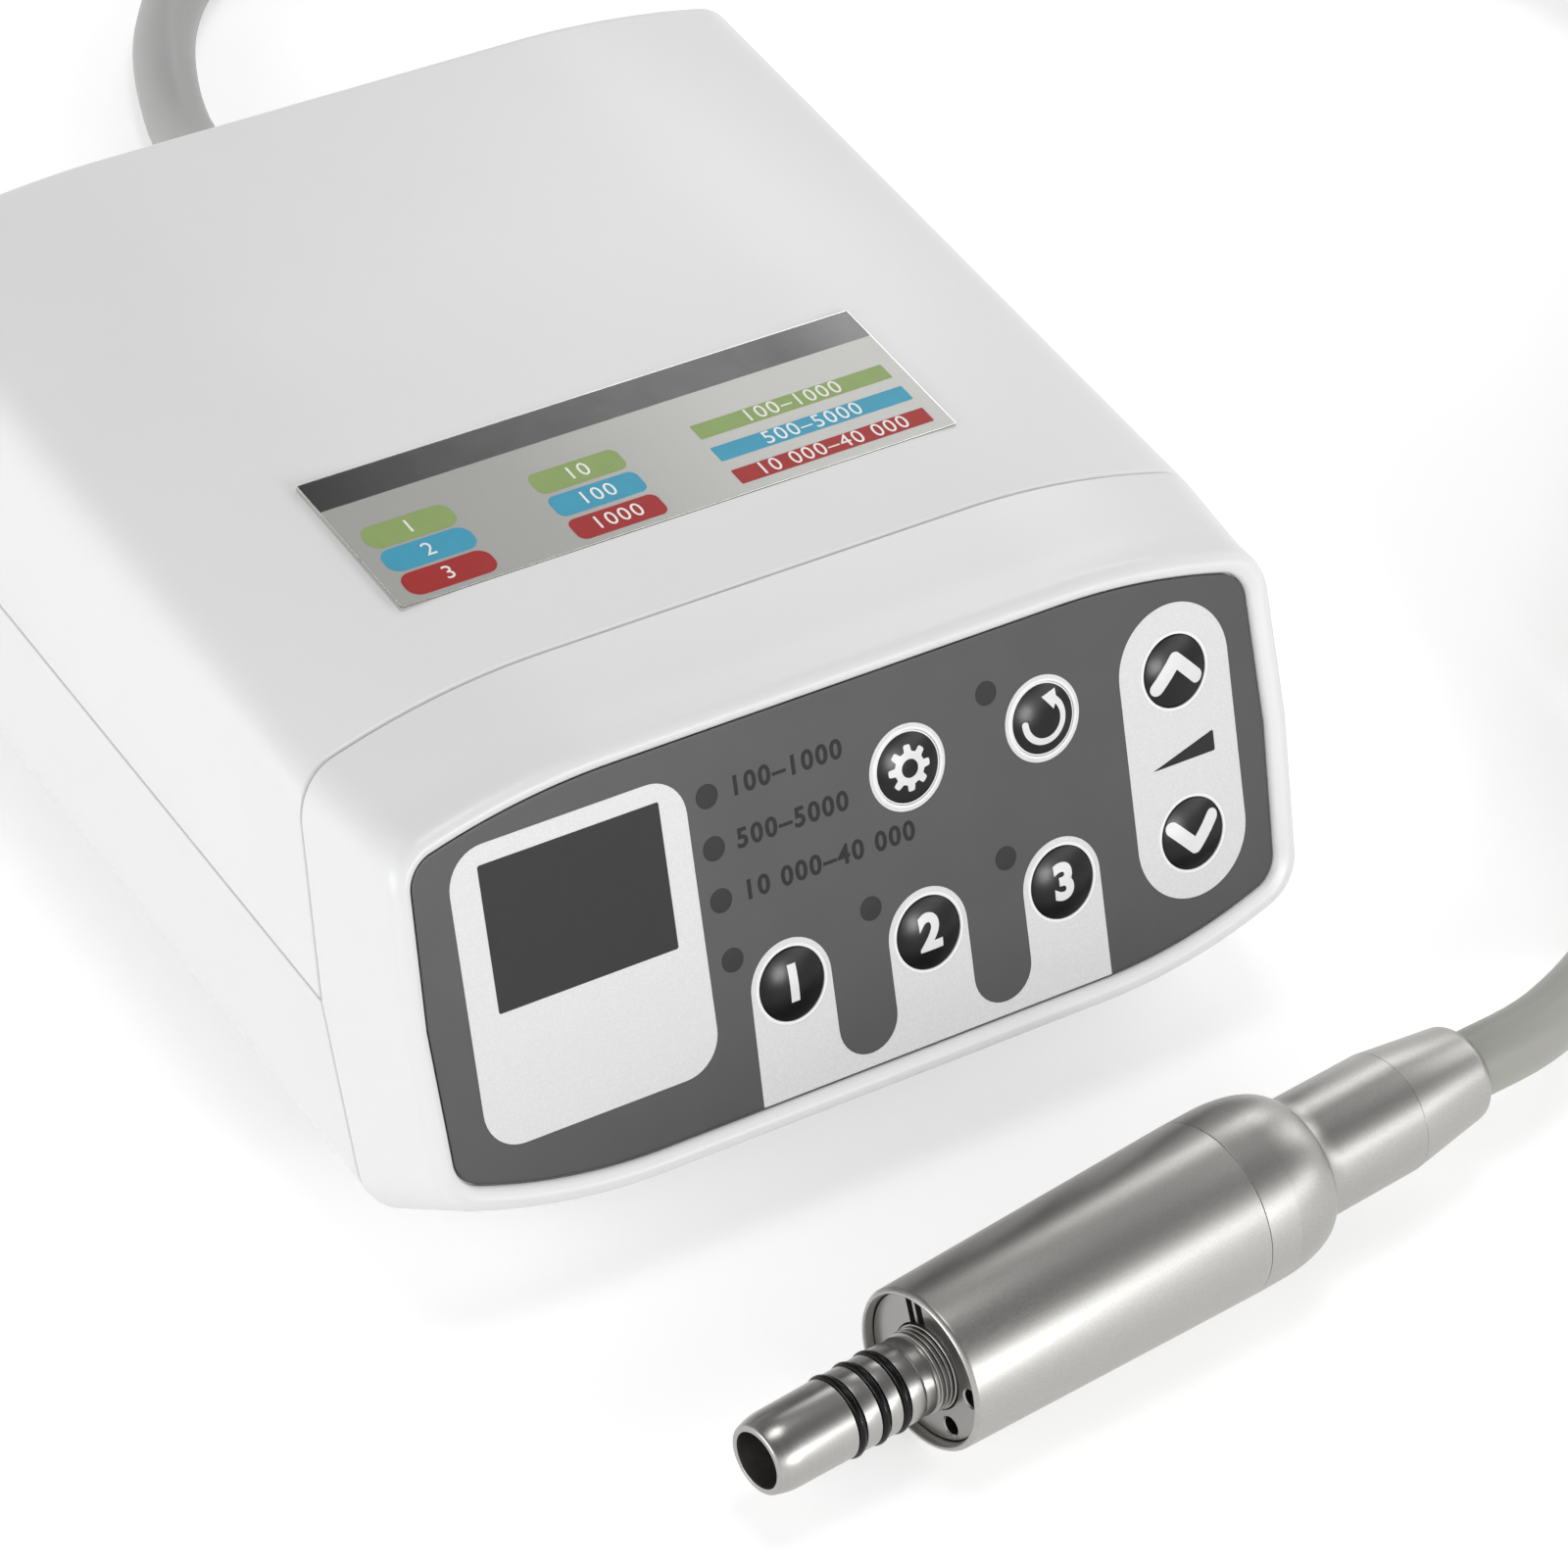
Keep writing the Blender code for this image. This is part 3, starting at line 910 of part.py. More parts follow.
def build_motor_inside(front_seat, flange_back, rear_seat):
    """Stator, and the rotor on its two bearings with the drive dog at its front end."""
    on_axis = {"parent": MOTOR}
    stator_radius = SLEEVE_BORE_RADIUS - GAP
    stator_start, stator_end = flange_back + STATOR_CLEARANCE, rear_seat - STATOR_CLEARANCE
    turned("stator", [
        (stator_start, STATOR_BORE_RADIUS), (stator_start, stator_radius),
        (stator_end, stator_radius), (stator_end, STATOR_BORE_RADIUS),
    ], MOTOR_SIDES, COPPER, hollow=True, **on_axis)
    for name, start in (("front_bearing", front_seat + GAP), ("rear_bearing", rear_seat)):
        turned(name, [
            (start, SHAFT_RADIUS + SLIDE), (start, BEARING_RADIUS),
            (start + BEARING_WIDTH, BEARING_RADIUS), (start + BEARING_WIDTH, SHAFT_RADIUS + SLIDE),
        ], 24, BRIGHT, hollow=True, **on_axis)
    turned("rotor_magnet", [
        (stator_start + MAGNET_CLEARANCE, SHAFT_RADIUS + SLIDE), (stator_start + MAGNET_CLEARANCE, MAGNET_RADIUS),
        (stator_end - MAGNET_CLEARANCE, MAGNET_RADIUS), (stator_end - MAGNET_CLEARANCE, SHAFT_RADIUS + SLIDE),
    ], 24, MAGNET, hollow=True, **on_axis)
    dog_front = DOG_DEPTH - NOSE_TIP
    dog_rear = dog_front + DOG_LENGTH
    turned("rotor_shaft", [
        (dog_front + SHAFT_BEHIND_DOG, SHAFT_RADIUS), (rear_seat + BEARING_WIDTH, SHAFT_RADIUS),
    ], 20, BRIGHT, **on_axis)
    dog = turned("drive_dog", [
        (dog_front, SHAFT_RADIUS + SLIDE), (dog_front, DOG_RADIUS),
        (dog_rear, DOG_RADIUS), (dog_rear, SHAFT_RADIUS + SLIDE),
    ], 20, BRIGHT, hollow=True, **on_axis)
    cut(dog, "dog_slot", [box_loops(
        dog_front - OVERRUN, dog_front + DOG_SLOT_DEPTH, -DOG_RADIUS - OVERRUN, DOG_RADIUS + OVERRUN,
        -DOG_SLOT_HALF_WIDTH, DOG_SLOT_HALF_WIDTH)])


def smooth(points, step):
    """Points a step apart on the smooth curve through the route's points."""
    p = np.array(points, float)
    ends = np.vstack([2 * p[0] - p[1], p, 2 * p[-1] - p[-2]])
    fine = []
    for a, b, c, d in zip(ends, ends[1:], ends[2:], ends[3:]):
        for t in np.linspace(0, 1, 24, endpoint=False):
            fine.append(0.5 * (2 * b + (c - a) * t + (2 * a - 5 * b + 4 * c - d) * t ** 2
                               + (3 * b - a - 3 * c + d) * t ** 3))
    fine = np.array(fine + [p[-1]])
    along = np.concatenate([[0], np.cumsum(np.linalg.norm(np.diff(fine, axis=0), axis=1))])
    places = np.linspace(0, along[-1], max(2, round(along[-1] / step) + 1))
    return np.stack([np.interp(places, along, fine[:, k]) for k in range(3)], 1)


def tube(name, points, resolution):
    curve = bpy.data.curves.new(name, "CURVE")
    curve.dimensions = "3D"
    curve.bevel_depth = HOSE_RADIUS
    curve.bevel_resolution = resolution
    curve.use_fill_caps = True
    spline = curve.splines.new("POLY")
    spline.points.add(len(points) - 1)
    spline.points.foreach_set("co", np.column_stack([points, np.ones(len(points))]).ravel())
    curve.materials.append(HOSE_GREY)
    made = bpy.data.objects.new(name, curve)
    made.parent = UNIT
    bpy.context.scene.collection.objects.link(made)
    return made


def coil_points():
    """The coil spirals in on the surface, climbs a layer as it turns back, and spirals out."""
    heading = np.array([math.cos(COIL_HEADING), math.sin(COIL_HEADING)])
    inwards = np.array([-heading[1], heading[0]])
    centre = np.array(COIL_START) + COIL_OUTER_RADIUS * inwards
    first = math.atan2(*(-inwards)[::-1])
    turns = COIL_LAYERS * COIL_TURNS_PER_LAYER
    t = np.arange(turns * COIL_STEPS + 1) / COIL_STEPS
    radius = COIL_OUTER_RADIUS - COIL_PITCH * (COIL_TURNS_PER_LAYER - np.abs(t - COIL_TURNS_PER_LAYER))
    climb = np.clip((t - COIL_TURNS_PER_LAYER) * 2 + 0.5, 0, 1)
    z = HOSE_Z + COIL_PITCH * climb ** 2 * (3 - 2 * climb)
    angle = first + TURN * t
    xy = centre + radius[:, None] * np.stack([np.cos(angle), np.sin(angle)], 1)
    loops = np.column_stack([xy, z])
    straight = 2 * HOSE_RADIUS * np.append(heading, 0)
    points = np.vstack([loops[0] - straight, loops, loops[-1] + straight])
    return points, np.append(heading, 0)


def build_hose():
    """The hose from the gland to the coil, the coil, and on to the motor's rear nut."""
    points, heading = coil_points()
    apart = np.linalg.norm(points[:, None] - points[None], axis=2)
    far = np.abs(np.subtract.outer(np.arange(len(points)), np.arange(len(points)))) > COIL_STEPS // 2
    print("coil's least gap to itself, mm:", round(1000 * float(apart[far].min() - 2 * HOSE_RADIUS), 2))
    tube("hose_coil", points, 1)

    gland_tip = REAR_FACE_Y + GLAND_LENGTH - GLAND_HOLD
    entry = points[0] - heading * GAP
    box_route = [
        (GLAND_X, gland_tip, GLAND_Z), (GLAND_X, 0.1580, GLAND_Z), (0.0189, 0.1745, 0.0150),
        (0.0204, 0.1890, 0.0082), (0.0232, 0.2024, HOSE_Z), (0.0278, 0.2150, HOSE_Z),
        (0.0339, 0.2254, HOSE_Z), (0.0430, 0.2350, HOSE_Z), (0.0560, 0.2420, HOSE_Z),
        (0.0720, 0.2435, HOSE_Z), (0.0950, 0.2370, HOSE_Z), (0.1300, 0.2220, HOSE_Z),
        (0.1700, 0.2030, HOSE_Z), (0.2080, 0.1840, HOSE_Z), (0.2370, 0.1640, HOSE_Z),
        (0.2490, 0.1420, HOSE_Z), (0.2460, 0.1200, HOSE_Z), (0.2330, 0.1010, HOSE_Z),
        (0.2130, 0.0830, HOSE_Z), (0.1900, 0.0650, HOSE_Z),
        tuple(entry - heading * RUN_STEP), tuple(entry),
    ]
    tube("hose_box_run", smooth(box_route, RUN_STEP), 2)

    leave = points[-1] + heading * GAP
    axis = Matrix.Rotation(MOTOR_YAW, 3, "Z") @ Matrix.Rotation(-MOTOR_TILT, 3, "Y")
    base = Vector((MOTOR_X, MOTOR_Y, MOTOR_Z))
    inside = base + axis @ Vector((CONE_EDGE + GAP + NUT_FLOOR + GAP, 0, 0))
    mouth = base + axis @ Vector((NUT_END, 0, 0))
    motor_route = [
        tuple(leave), tuple(leave + heading * HOSE_RADIUS), (0.1445, 0.0122, 0.0139),
        (0.1383, 0.0045, 0.0107), (0.1321, -0.0033, 0.0070), (0.1250, -0.0120, HOSE_Z),
        (0.1180, -0.0196, HOSE_Z), (0.1095, -0.0265, 0.0063), (0.1000, -0.0325, 0.0088),
        (0.0901, -0.0374, 0.0110), (0.0800, -0.0407, 0.0123),
        tuple(mouth), tuple(inside),
    ]
    tube("hose_motor_run", smooth(motor_route, RUN_STEP / 2), 2)


build_covers()
build_feet_and_screws()
build_bezel()
build_keys_and_lamps()
build_electronics()
build_rear()
seats = build_motor_casing()
build_motor_inside(*seats)
build_hose()
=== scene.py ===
"""Looks of the bench-top dental micromotor: control unit, drive hose and handpiece motor.

Everything is in metres, in the frame of the CAD model. The panel side faces -Y, and the bench is z = 0.
"""

import json
import math

import bmesh
import bpy
import numpy as np
from mathutils import Matrix, Vector


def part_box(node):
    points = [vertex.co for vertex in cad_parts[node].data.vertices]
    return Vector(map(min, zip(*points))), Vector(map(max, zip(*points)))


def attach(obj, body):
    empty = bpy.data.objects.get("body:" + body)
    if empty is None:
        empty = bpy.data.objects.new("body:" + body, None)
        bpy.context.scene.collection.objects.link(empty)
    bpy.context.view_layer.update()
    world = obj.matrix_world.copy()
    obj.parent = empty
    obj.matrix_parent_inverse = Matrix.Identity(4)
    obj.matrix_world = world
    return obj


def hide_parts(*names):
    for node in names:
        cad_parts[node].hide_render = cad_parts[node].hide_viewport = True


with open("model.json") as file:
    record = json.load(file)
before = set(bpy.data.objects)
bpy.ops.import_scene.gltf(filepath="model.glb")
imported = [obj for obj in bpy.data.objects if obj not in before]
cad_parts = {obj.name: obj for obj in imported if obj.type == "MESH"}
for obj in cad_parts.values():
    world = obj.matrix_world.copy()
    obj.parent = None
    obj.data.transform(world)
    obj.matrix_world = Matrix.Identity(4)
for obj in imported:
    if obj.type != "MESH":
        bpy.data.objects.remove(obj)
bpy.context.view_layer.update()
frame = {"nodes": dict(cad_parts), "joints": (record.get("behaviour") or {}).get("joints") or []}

bl_info = {
    "name": "Dental micromotor looks",
    "version": (1, 0, 0),
    "blender": (4, 5, 0),
    "location": "3D View > Sidebar > Micromotor",
    "description": "Builds the visible surfaces of a bench-top dental micromotor round its CAD model",
    "category": "Add Mesh",
}

# Control unit: the shell's section and depth
BODY_HALF_WIDTH = 0.0681
SHOULDER_HALF_WIDTH = 0.067
BODY_HALF_HEIGHT = 0.0302
BODY_FLAT = 0.031
BODY_CROWN = 0.132
BODY_CORNER = 0.007
BODY_DEPTH = 0.1366
WALL = 0.0025
BACK_ROUNDING = 0.0018
EDGE_ROUNDING = 0.00035
PARTING_GAP = 0.0003
CRISP = 0.0001
LEAST_ROUNDING = 0.00002
SEAM_Z = 0.0342
FOOT_RADIUS = 0.0065
SCREW_SHANK = 0.0015
FOOT_PLACES = [(side * 0.044, y) for y in (0.022, 0.118) for side in (-1, 1)]
SCREW_PLACES = [(side * 0.05, y) for y in (0.036, 0.104) for side in (-1, 1)]

# Front panel
PANEL_LEAN = math.radians(25.7)
PANEL_RISE = 0.006
BEZEL_DEPTH = 0.016
FILM_HALF_WIDTH = 0.0628
FILM_END = 0.0621
FILM_FLAT = 0.033
FILM_CORNER = 0.0042
FILM_UPPER = (0.02445, 0.106)  # half height and crown radius
FILM_LOWER = (0.02565, 0.082)
FILM_THICKNESS = 0.0005
PLATE_FRONT_DEPTH = 0.0008
PLATE_BACK_DEPTH = 0.003
LIP_WIDTH = 0.0028
LIP_HEIGHT = 0.0011
LIP_DROP = 0.0006
KEY_RADIUS = 0.00475
KEY_FLANGE = 0.0056
KEY_RING = 0.00562
KEY_DOME = 0.00065
KEY_BALL = (KEY_RADIUS ** 2 + KEY_DOME ** 2) / (2 * KEY_DOME)
KEY_COLUMNS = (-0.0124, 0.0081, 0.0286, 0.0491)
KEY_ROW = 0.011
SHOULDER_DEPTH = (-0.0033, -0.0042)
LAMP_RADIUS = 0.00144
LAMP_FLANGE = 0.0019
WINDOW = (-0.0529, -0.0276, -0.0011, 0.0177)
PRINT = 0.00003
SPEEDS = ("100–1000", "500–5000", "10 000–40 000")

# Label plate on the top
LABEL_MIDDLE = (-0.0013, 0.0559)
LABEL_HALF_WIDTH = 0.0413
LABEL_HALF_DEPTH = 0.0126
LABEL_STAND = 0.0001

# Motor, along its axis from the sleeve's front rim
SLEEVE_FRONT = 0.0108
SLEEVE_REAR = 0.01185
SLEEVE_BORE = 0.00975
BEARING_SEAT = 0.00495
INNER_BORE = 0.003
SEAM = 0.047
CAP_SHOULDER = SEAM + 0.0046
CONE_RADIUS = 0.0082
CONE_EDGE = 0.0771
NUT_END = 0.091
NOSE_TIP = -0.0252
NOSE_RADIUS = 0.0052
O_RING_PLACES = (-0.0129, -0.00925, -0.006)
O_RING_WIRE = 0.00058
PORT_CIRCLE = 0.0079
PORT_RADIUS = 0.0012
PORT_ANGLES = (-134, -190)
SLOT_ANGLE = 62

# Drive hose
HOSE_DIAMETER = 0.0092

# Places read from the CAD model
UNIT_LOW, UNIT_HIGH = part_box("lower_cover")
UNIT_X, UNIT_Y = (UNIT_LOW.x + UNIT_HIGH.x) / 2, UNIT_HIGH.y - BODY_DEPTH
UNIT = Matrix.Translation((UNIT_X, UNIT_Y, 0))
PANEL_TURN = Matrix.Rotation(math.pi / 2 - PANEL_LEAN, 4, "X")
PANEL = UNIT @ Matrix.Translation((0, 0, SEAM_Z + PANEL_RISE)) @ PANEL_TURN
LABEL = UNIT @ Matrix.Translation((*LABEL_MIDDLE, SEAM_Z + BODY_HALF_HEIGHT + LABEL_STAND))
SPIN = next(joint for joint in frame["joints"] if joint["name"] == "rotor_spin")
MOTOR_AXIS = Vector(SPIN["axis"]).normalized()
MOTOR_YAW, MOTOR_TILT = math.atan2(MOTOR_AXIS.y, MOTOR_AXIS.x), math.asin(MOTOR_AXIS.z)
MOTOR = (Matrix.Translation(SPIN["pos_m"])
         @ Matrix.Rotation(MOTOR_YAW, 4, "Z") @ Matrix.Rotation(-MOTOR_TILT, 4, "Y"))


# --- Settings ---------------------------------------------------------------------------------

def colour(name, description, value):
    return bpy.props.FloatVectorProperty(
        name=name, description=description, default=value, subtype="COLOR", size=3, min=0, max=1)


def share(name, description, value):
    return bpy.props.FloatProperty(
        name=name, description=description, default=value, subtype="FACTOR", min=0, max=1)


def number(name, description, value, **limits):
    return bpy.props.FloatProperty(name=name, description=description, default=value, **limits)


class StageSettings(bpy.types.PropertyGroup):
    floor_colour: colour("Floor colour", "Colour of the bench that the object stands on", (0.8, 0.8, 0.8))
    floor_glow: share("Floor glow", "Light added to the floor where the camera sees it", 0.46)
    horizon: number("Horizon", "Strength of the surroundings near the horizon", 1.0, min=0)
    zenith: number("Zenith", "Strength of the surroundings overhead", 0.2, min=0)
    focal_length: number("Focal length", "Focal length of the camera in millimetres", 154.755, min=1)


class HoseSettings(bpy.types.PropertyGroup):
    grey: colour("Grey", "Colour of the silicone hose", (0.43, 0.43, 0.425))
    # The motor end colour is painted shade on the same grey silicone.
    motor_end: colour("Motor end", "Colour of the hose where it enters the motor", (0.345, 0.345, 0.315))
    diameter: number("Diameter", "Outside diameter of the hose", HOSE_DIAMETER, unit="LENGTH", min=0)


class CaseSettings(bpy.types.PropertyGroup):
    plastic: colour("Plastic", "Colour of the moulded case", (0.8, 0.8, 0.805))
    roughness: share("Roughness", "Roughness of the moulded case", 0.34)


class PanelSettings(bpy.types.PropertyGroup):
    film: colour("Film", "Ground colour of the panel's film", (0.06, 0.06, 0.061))
    silver: colour("Silver", "Colour of the silver print", (0.63, 0.63, 0.635))
    legend: colour("Legend", "Colour of the dark figures on the film", (0.007, 0.007, 0.007))
    key: colour("Keys", "Colour of the domed keys", (0.004, 0.004, 0.0045))
    window: colour("Window", "Colour of the smoked window", (0.014, 0.014, 0.014))


class LabelSettings(bpy.types.PropertyGroup):
    ground: colour("Ground", "Ground colour of the label", (0.405, 0.405, 0.385))
    green: colour("Green", "Colour of the first row", (0.27, 0.38, 0.12))
    blue: colour("Blue", "Colour of the second row", (0.038, 0.335, 0.5))
    red: colour("Red", "Colour of the third row", (0.37, 0.006, 0.006))


class MotorSettings(bpy.types.PropertyGroup):
    steel: colour("Steel", "Colour of the satin steel", (0.425, 0.417, 0.402))
    roughness: share("Roughness", "Roughness of the satin steel", 0.36)


# --- Outlines and grids of points -------------------------------------------------------------

def shift(x, y, z=0.0):
    return Matrix.Translation((x, y, z))


def rounded(chain, cut, steps=4, closed=False):
    """A chain of points or outlines with its corners rounded.

    Each corner p becomes the curve (1-t)^2 a + 2t(1-t) p + t^2 b, where a and b lie `cut` away from p
    towards its neighbours, and at most half way.
    """
    chain = np.asarray(chain, float)
    ones = (1,) * (chain.ndim - 1)
    cut = np.broadcast_to(np.asarray(cut, float).reshape((-1,) + ones), chain.shape[:1] + ones)

    def towards(other):
        step = other - chain
        reach = np.linalg.norm(step, axis=-1, keepdims=True)
        return chain + step * np.minimum(cut / np.maximum(reach, 1e-9), 0.5)

    a, b = towards(np.roll(chain, 1, 0)), towards(np.roll(chain, -1, 0))
    t = np.linspace(0, 1, steps + 1).reshape((1, -1) + ones)
    curves = (1 - t) ** 2 * a[:, None] + 2 * t * (1 - t) * chain[:, None] + t ** 2 * b[:, None]
    if closed:
        return curves.reshape((-1,) + chain.shape[1:])
    inner = curves[1:-1].reshape((-1,) + chain.shape[1:])
    return np.concatenate([chain[:1], inner, chain[-1:]])


def revolved(profile, sides, axis="X"):
    """Rings (s, r cos a, r sin a) for a profile of (place along the axis, radius)."""
    a = 2 * math.pi * np.arange(sides) / sides
    s, r = np.asarray(profile, float).T[:, :, None]
    along, across, up = s + 0 * a, r * np.cos(a), r * np.sin(a)
    order = {"X": (along, across, up), "Y": (up, along, across), "Z": (across, up, along)}[axis]
    return np.stack(order, -1)


def arc(x, y, radius, start, end, steps=12):
    """Points (x + r cos a, y + r sin a) from one angle to another, in degrees."""
    a = np.radians(np.linspace(start, end, steps + 1))
    return np.stack([x + radius * np.cos(a), y + radius * np.sin(a)], -1)


def disc(x, y, radius, sides=48):
    return arc(x, y, radius, 0, 360, sides)[:-1]


def round_box(x0, x1, y0, y1, radius, steps=10):
    """A rectangle whose corners are quarter circles."""
    corners = ((x1 - radius, y1 - radius), (x0 + radius, y1 - radius),
               (x0 + radius, y0 + radius), (x1 - radius, y0 + radius))
    return np.vstack([arc(x, y, radius, 90 * k, 90 * k + 90, steps) for k, (x, y) in enumerate(corners)])


def window_box(grow=0.0, radius=0.0003):
    x0, x1, y0, y1 = WINDOW
    return round_box(x0 - grow, x1 + grow, y0 - grow, y1 + grow, radius, 4)


def at_depth(outline, z):
    return np.column_stack([outline, np.full(len(outline), z)])


def prism(outline, *levels):
    """The outline repeated at some levels of z."""
    return np.stack([at_depth(outline, z) for z in levels])


def rod(x, y, z0, z1, radius, sides=40):
    return prism(disc(x, y, radius, sides), z0, z1)


def placed(rings, place):
    """The points of a grid, carried by a matrix."""
    m = np.array(place)
    return np.asarray(rings, float) @ m[:3, :3].T + m[:3, 3]


# --- Meshes -----------------------------------------------------------------------------------

def grid_faces(rows, columns, closed_rows=False):
    """Quads of a grid whose columns run round: corners (r, c), (r, c+1), (r+1, c+1), (r+1, c)."""
    r = np.arange(rows if closed_rows else rows - 1)[:, None]
    c = np.arange(columns)[None, :]
    across, down = (c + 1) % columns, (r + 1) % rows
    corners = [r * columns + c, r * columns + across, down * columns + across, down * columns + c]
    return np.stack(corners, -1).reshape(-1, 4)


def edited(mesh, *steps):
    """Runs steps on the mesh as an editable one."""
    bm = bmesh.new()
    bm.from_mesh(mesh)
    for step in steps:
        step(bm)
    bm.to_mesh(mesh)
    bm.free()


def weld(bm):
    bmesh.ops.remove_doubles(bm, verts=bm.verts, dist=1e-7)


def face_outwards(bm):
    bmesh.ops.recalc_face_normals(bm, faces=bm.faces)
    if bm.calc_volume(signed=True) < 0:
        bmesh.ops.reverse_faces(bm, faces=bm.faces)


def finish_mesh(name, mesh, look, body="housing", place=None, sharp=32, node=None, slot=None):
    """Welds, turns faces outwards, places and shades the mesh, and hangs it on its CAD body.

    Where it stands for a CAD node, that node is named and hidden. The slot that is given is not used.
    """
    edited(mesh, weld, face_outwards)
    if place is not None:
        mesh.transform(place)
    mesh.shade_smooth()
    mesh.set_sharp_from_angle(angle=math.radians(sharp))
    mesh.materials.clear()
    mesh.materials.append(look)
    piece = bpy.data.objects.new(name, mesh)
    bpy.context.scene.collection.objects.link(piece)
    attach(piece, body)
    if node:
        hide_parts(node)
    return piece


def surface(name, rings, look, ends="closed", **rest):
    """A skin over a grid of points, row by row round the piece.

    Its ends are closed with one face each, joined to each other, or filled across the wall of an arch.
    """
    rings = np.asarray(rings, float)
    rows, columns = rings.shape[:2]
    last = (rows - 1) * columns
    faces = grid_faces(rows, columns, ends == "joined").tolist()
    if ends == "closed":
        faces += [list(range(columns)), list(range(last, last + columns))]
    if ends == "arch":
        i = np.arange(columns // 2 - 1)
        strip = np.stack([i, i + 1, columns - 2 - i, columns - 1 - i], -1)
        faces += strip.tolist() + (strip + last).tolist()
    mesh = bpy.data.meshes.new(name)
    mesh.from_pydata(rings.reshape(-1, 3).tolist(), [], faces)
    return finish_mesh(name, mesh, look, **rest)


def turned(name, profile, look, sides=96, axis="X", hollow=False, steps=4, **rest):
    """A turned piece from rows of (place, radius, rounding), where the rounding may be left out.

    A hollow one's profile closes on itself.
    """
    rows = np.array([(*row, CRISP)[:3] for row in profile])
    line = rounded(rows[:, :2], np.maximum(rows[:, 2], LEAST_ROUNDING), steps, hollow)
    return surface(name, revolved(line, sides, axis), look, "joined" if hollow else "closed", **rest)


def curve_mesh(name, curve):
    """The curve's sheet, one print thick, as a mesh on the plane z = 0."""
    curve.extrude = PRINT / 2
    draft = bpy.data.objects.new(name, curve)
    bpy.context.scene.collection.objects.link(draft)
    bpy.context.view_layer.update()
    mesh = bpy.data.meshes.new_from_object(draft.evaluated_get(bpy.context.evaluated_depsgraph_get()))
    bpy.data.objects.remove(draft)
    mesh.transform(shift(0, 0, PRINT / 2))
    return mesh


def flat_mesh(name, *loops):
    """A printed sheet from closed outlines: those inside another are holes in it."""
    curve = bpy.data.curves.new(name, "CURVE")
    curve.dimensions, curve.fill_mode = "2D", "BOTH"
    for loop in loops:
        spline = curve.splines.new("POLY")
        spline.points.add(len(loop) - 1)
        spline.points.foreach_set("co", np.column_stack([at_depth(loop, 0), np.ones(len(loop))]).ravel())
        spline.use_cyclic_u = True
    return curve_mesh(name, curve)


def text_mesh(name, text, size, spacing=1.0, bold=0.0):
    letters = bpy.data.curves.new(name, "FONT")
    letters.body, letters.size = text, size
    letters.align_x, letters.align_y = "CENTER", "CENTER"
    letters.space_character, letters.offset = spacing, bold
    return curve_mesh(name, letters)


def printed(name, mesh, look, place, at=(0, 0), lift=0.0, body="housing"):
    """A print on a plane: the sheet's underside stands `lift` above it."""
    return finish_mesh(name, mesh, look, body, place @ shift(*at, lift))


def bent_over_dome(mesh):
    """Cuts the sheet fine and lifts each point to the dome: z + sqrt(R^2 - x^2 - y^2) - R + h."""
    def cut_fine(bm):
        bmesh.ops.triangulate(bm, faces=bm.faces)
        for _ in range(3):
            long_edges = [e for e in bm.edges if e.calc_length() > 0.0005]
            if long_edges:
                bmesh.ops.subdivide_edges(bm, edges=long_edges, cuts=1)
                bmesh.ops.triangulate(bm, faces=bm.faces)

    def lift(bm):
        for v in bm.verts:
            v.co.z += math.sqrt(KEY_BALL ** 2 - v.co.x ** 2 - v.co.y ** 2) - KEY_BALL + KEY_DOME

    edited(mesh, weld, cut_fine, lift)
    return mesh


def change(piece, solids, operation="DIFFERENCE"):
    """Cuts closed grids of points out of a piece, or adds them, and leaves no modifier behind."""
    points, faces, start = [], [], 0
    for rings in solids:
        rows, columns = rings.shape[:2]
        last = start + (rows - 1) * columns
        points.append(rings.reshape(-1, 3))
        faces += (grid_faces(rows, columns) + start).tolist()
        faces += [list(range(start, start + columns)), list(range(last, last + columns))]
        start += rows * columns
    mesh = bpy.data.meshes.new("cutter")
    mesh.from_pydata(np.vstack(points).tolist(), [], faces)
    edited(mesh, lambda bm: bmesh.ops.recalc_face_normals(bm, faces=bm.faces))
    cutter = bpy.data.objects.new("cutter", mesh)
    bpy.context.scene.collection.objects.link(cutter)
    step = piece.modifiers.new("cut", "BOOLEAN")
    step.operation, step.solver, step.object = operation, "EXACT", cutter
    bpy.context.view_layer.update()
    made = bpy.data.meshes.new_from_object(piece.evaluated_get(bpy.context.evaluated_depsgraph_get()))
    piece.modifiers.clear()
    piece.data = made
    bpy.data.objects.remove(cutter)
    made.set_sharp_from_angle(angle=math.radians(32))


# --- Materials --------------------------------------------------------------------------------

def add_node(tree, kind, inputs=None, **settings):
    """Adds a node, sets its options, and gives each named input a value or a link."""
    made = tree.nodes.new(kind)
    for key, value in settings.items():
        setattr(made, key, value)
    for key, value in (inputs or {}).items():
        if isinstance(value, bpy.types.NodeSocket):
            tree.links.new(value, made.inputs[key])
        else:
            made.inputs[key].default_value = value
    return made


def calculate(tree, operation, *values):
    return add_node(tree, "ShaderNodeMath", dict(enumerate(values)), operation=operation).outputs[0]


def ramp(tree, factor, stops, interpolation="LINEAR"):
    """A colour ramp from (place, grey or colour) stops; returns its colour output."""
    made = add_node(tree, "ShaderNodeValToRGB", {"Fac": factor})
    made.color_ramp.interpolation = interpolation
    elements = made.color_ramp.elements
    while len(elements) < len(stops):
        elements.new(0.5)
    for element, (place, value) in zip(elements, stops):
        element.position = place
        element.color = (value, value, value, 1) if isinstance(value, (int, float)) else (*value, 1)
    return made.outputs["Color"]


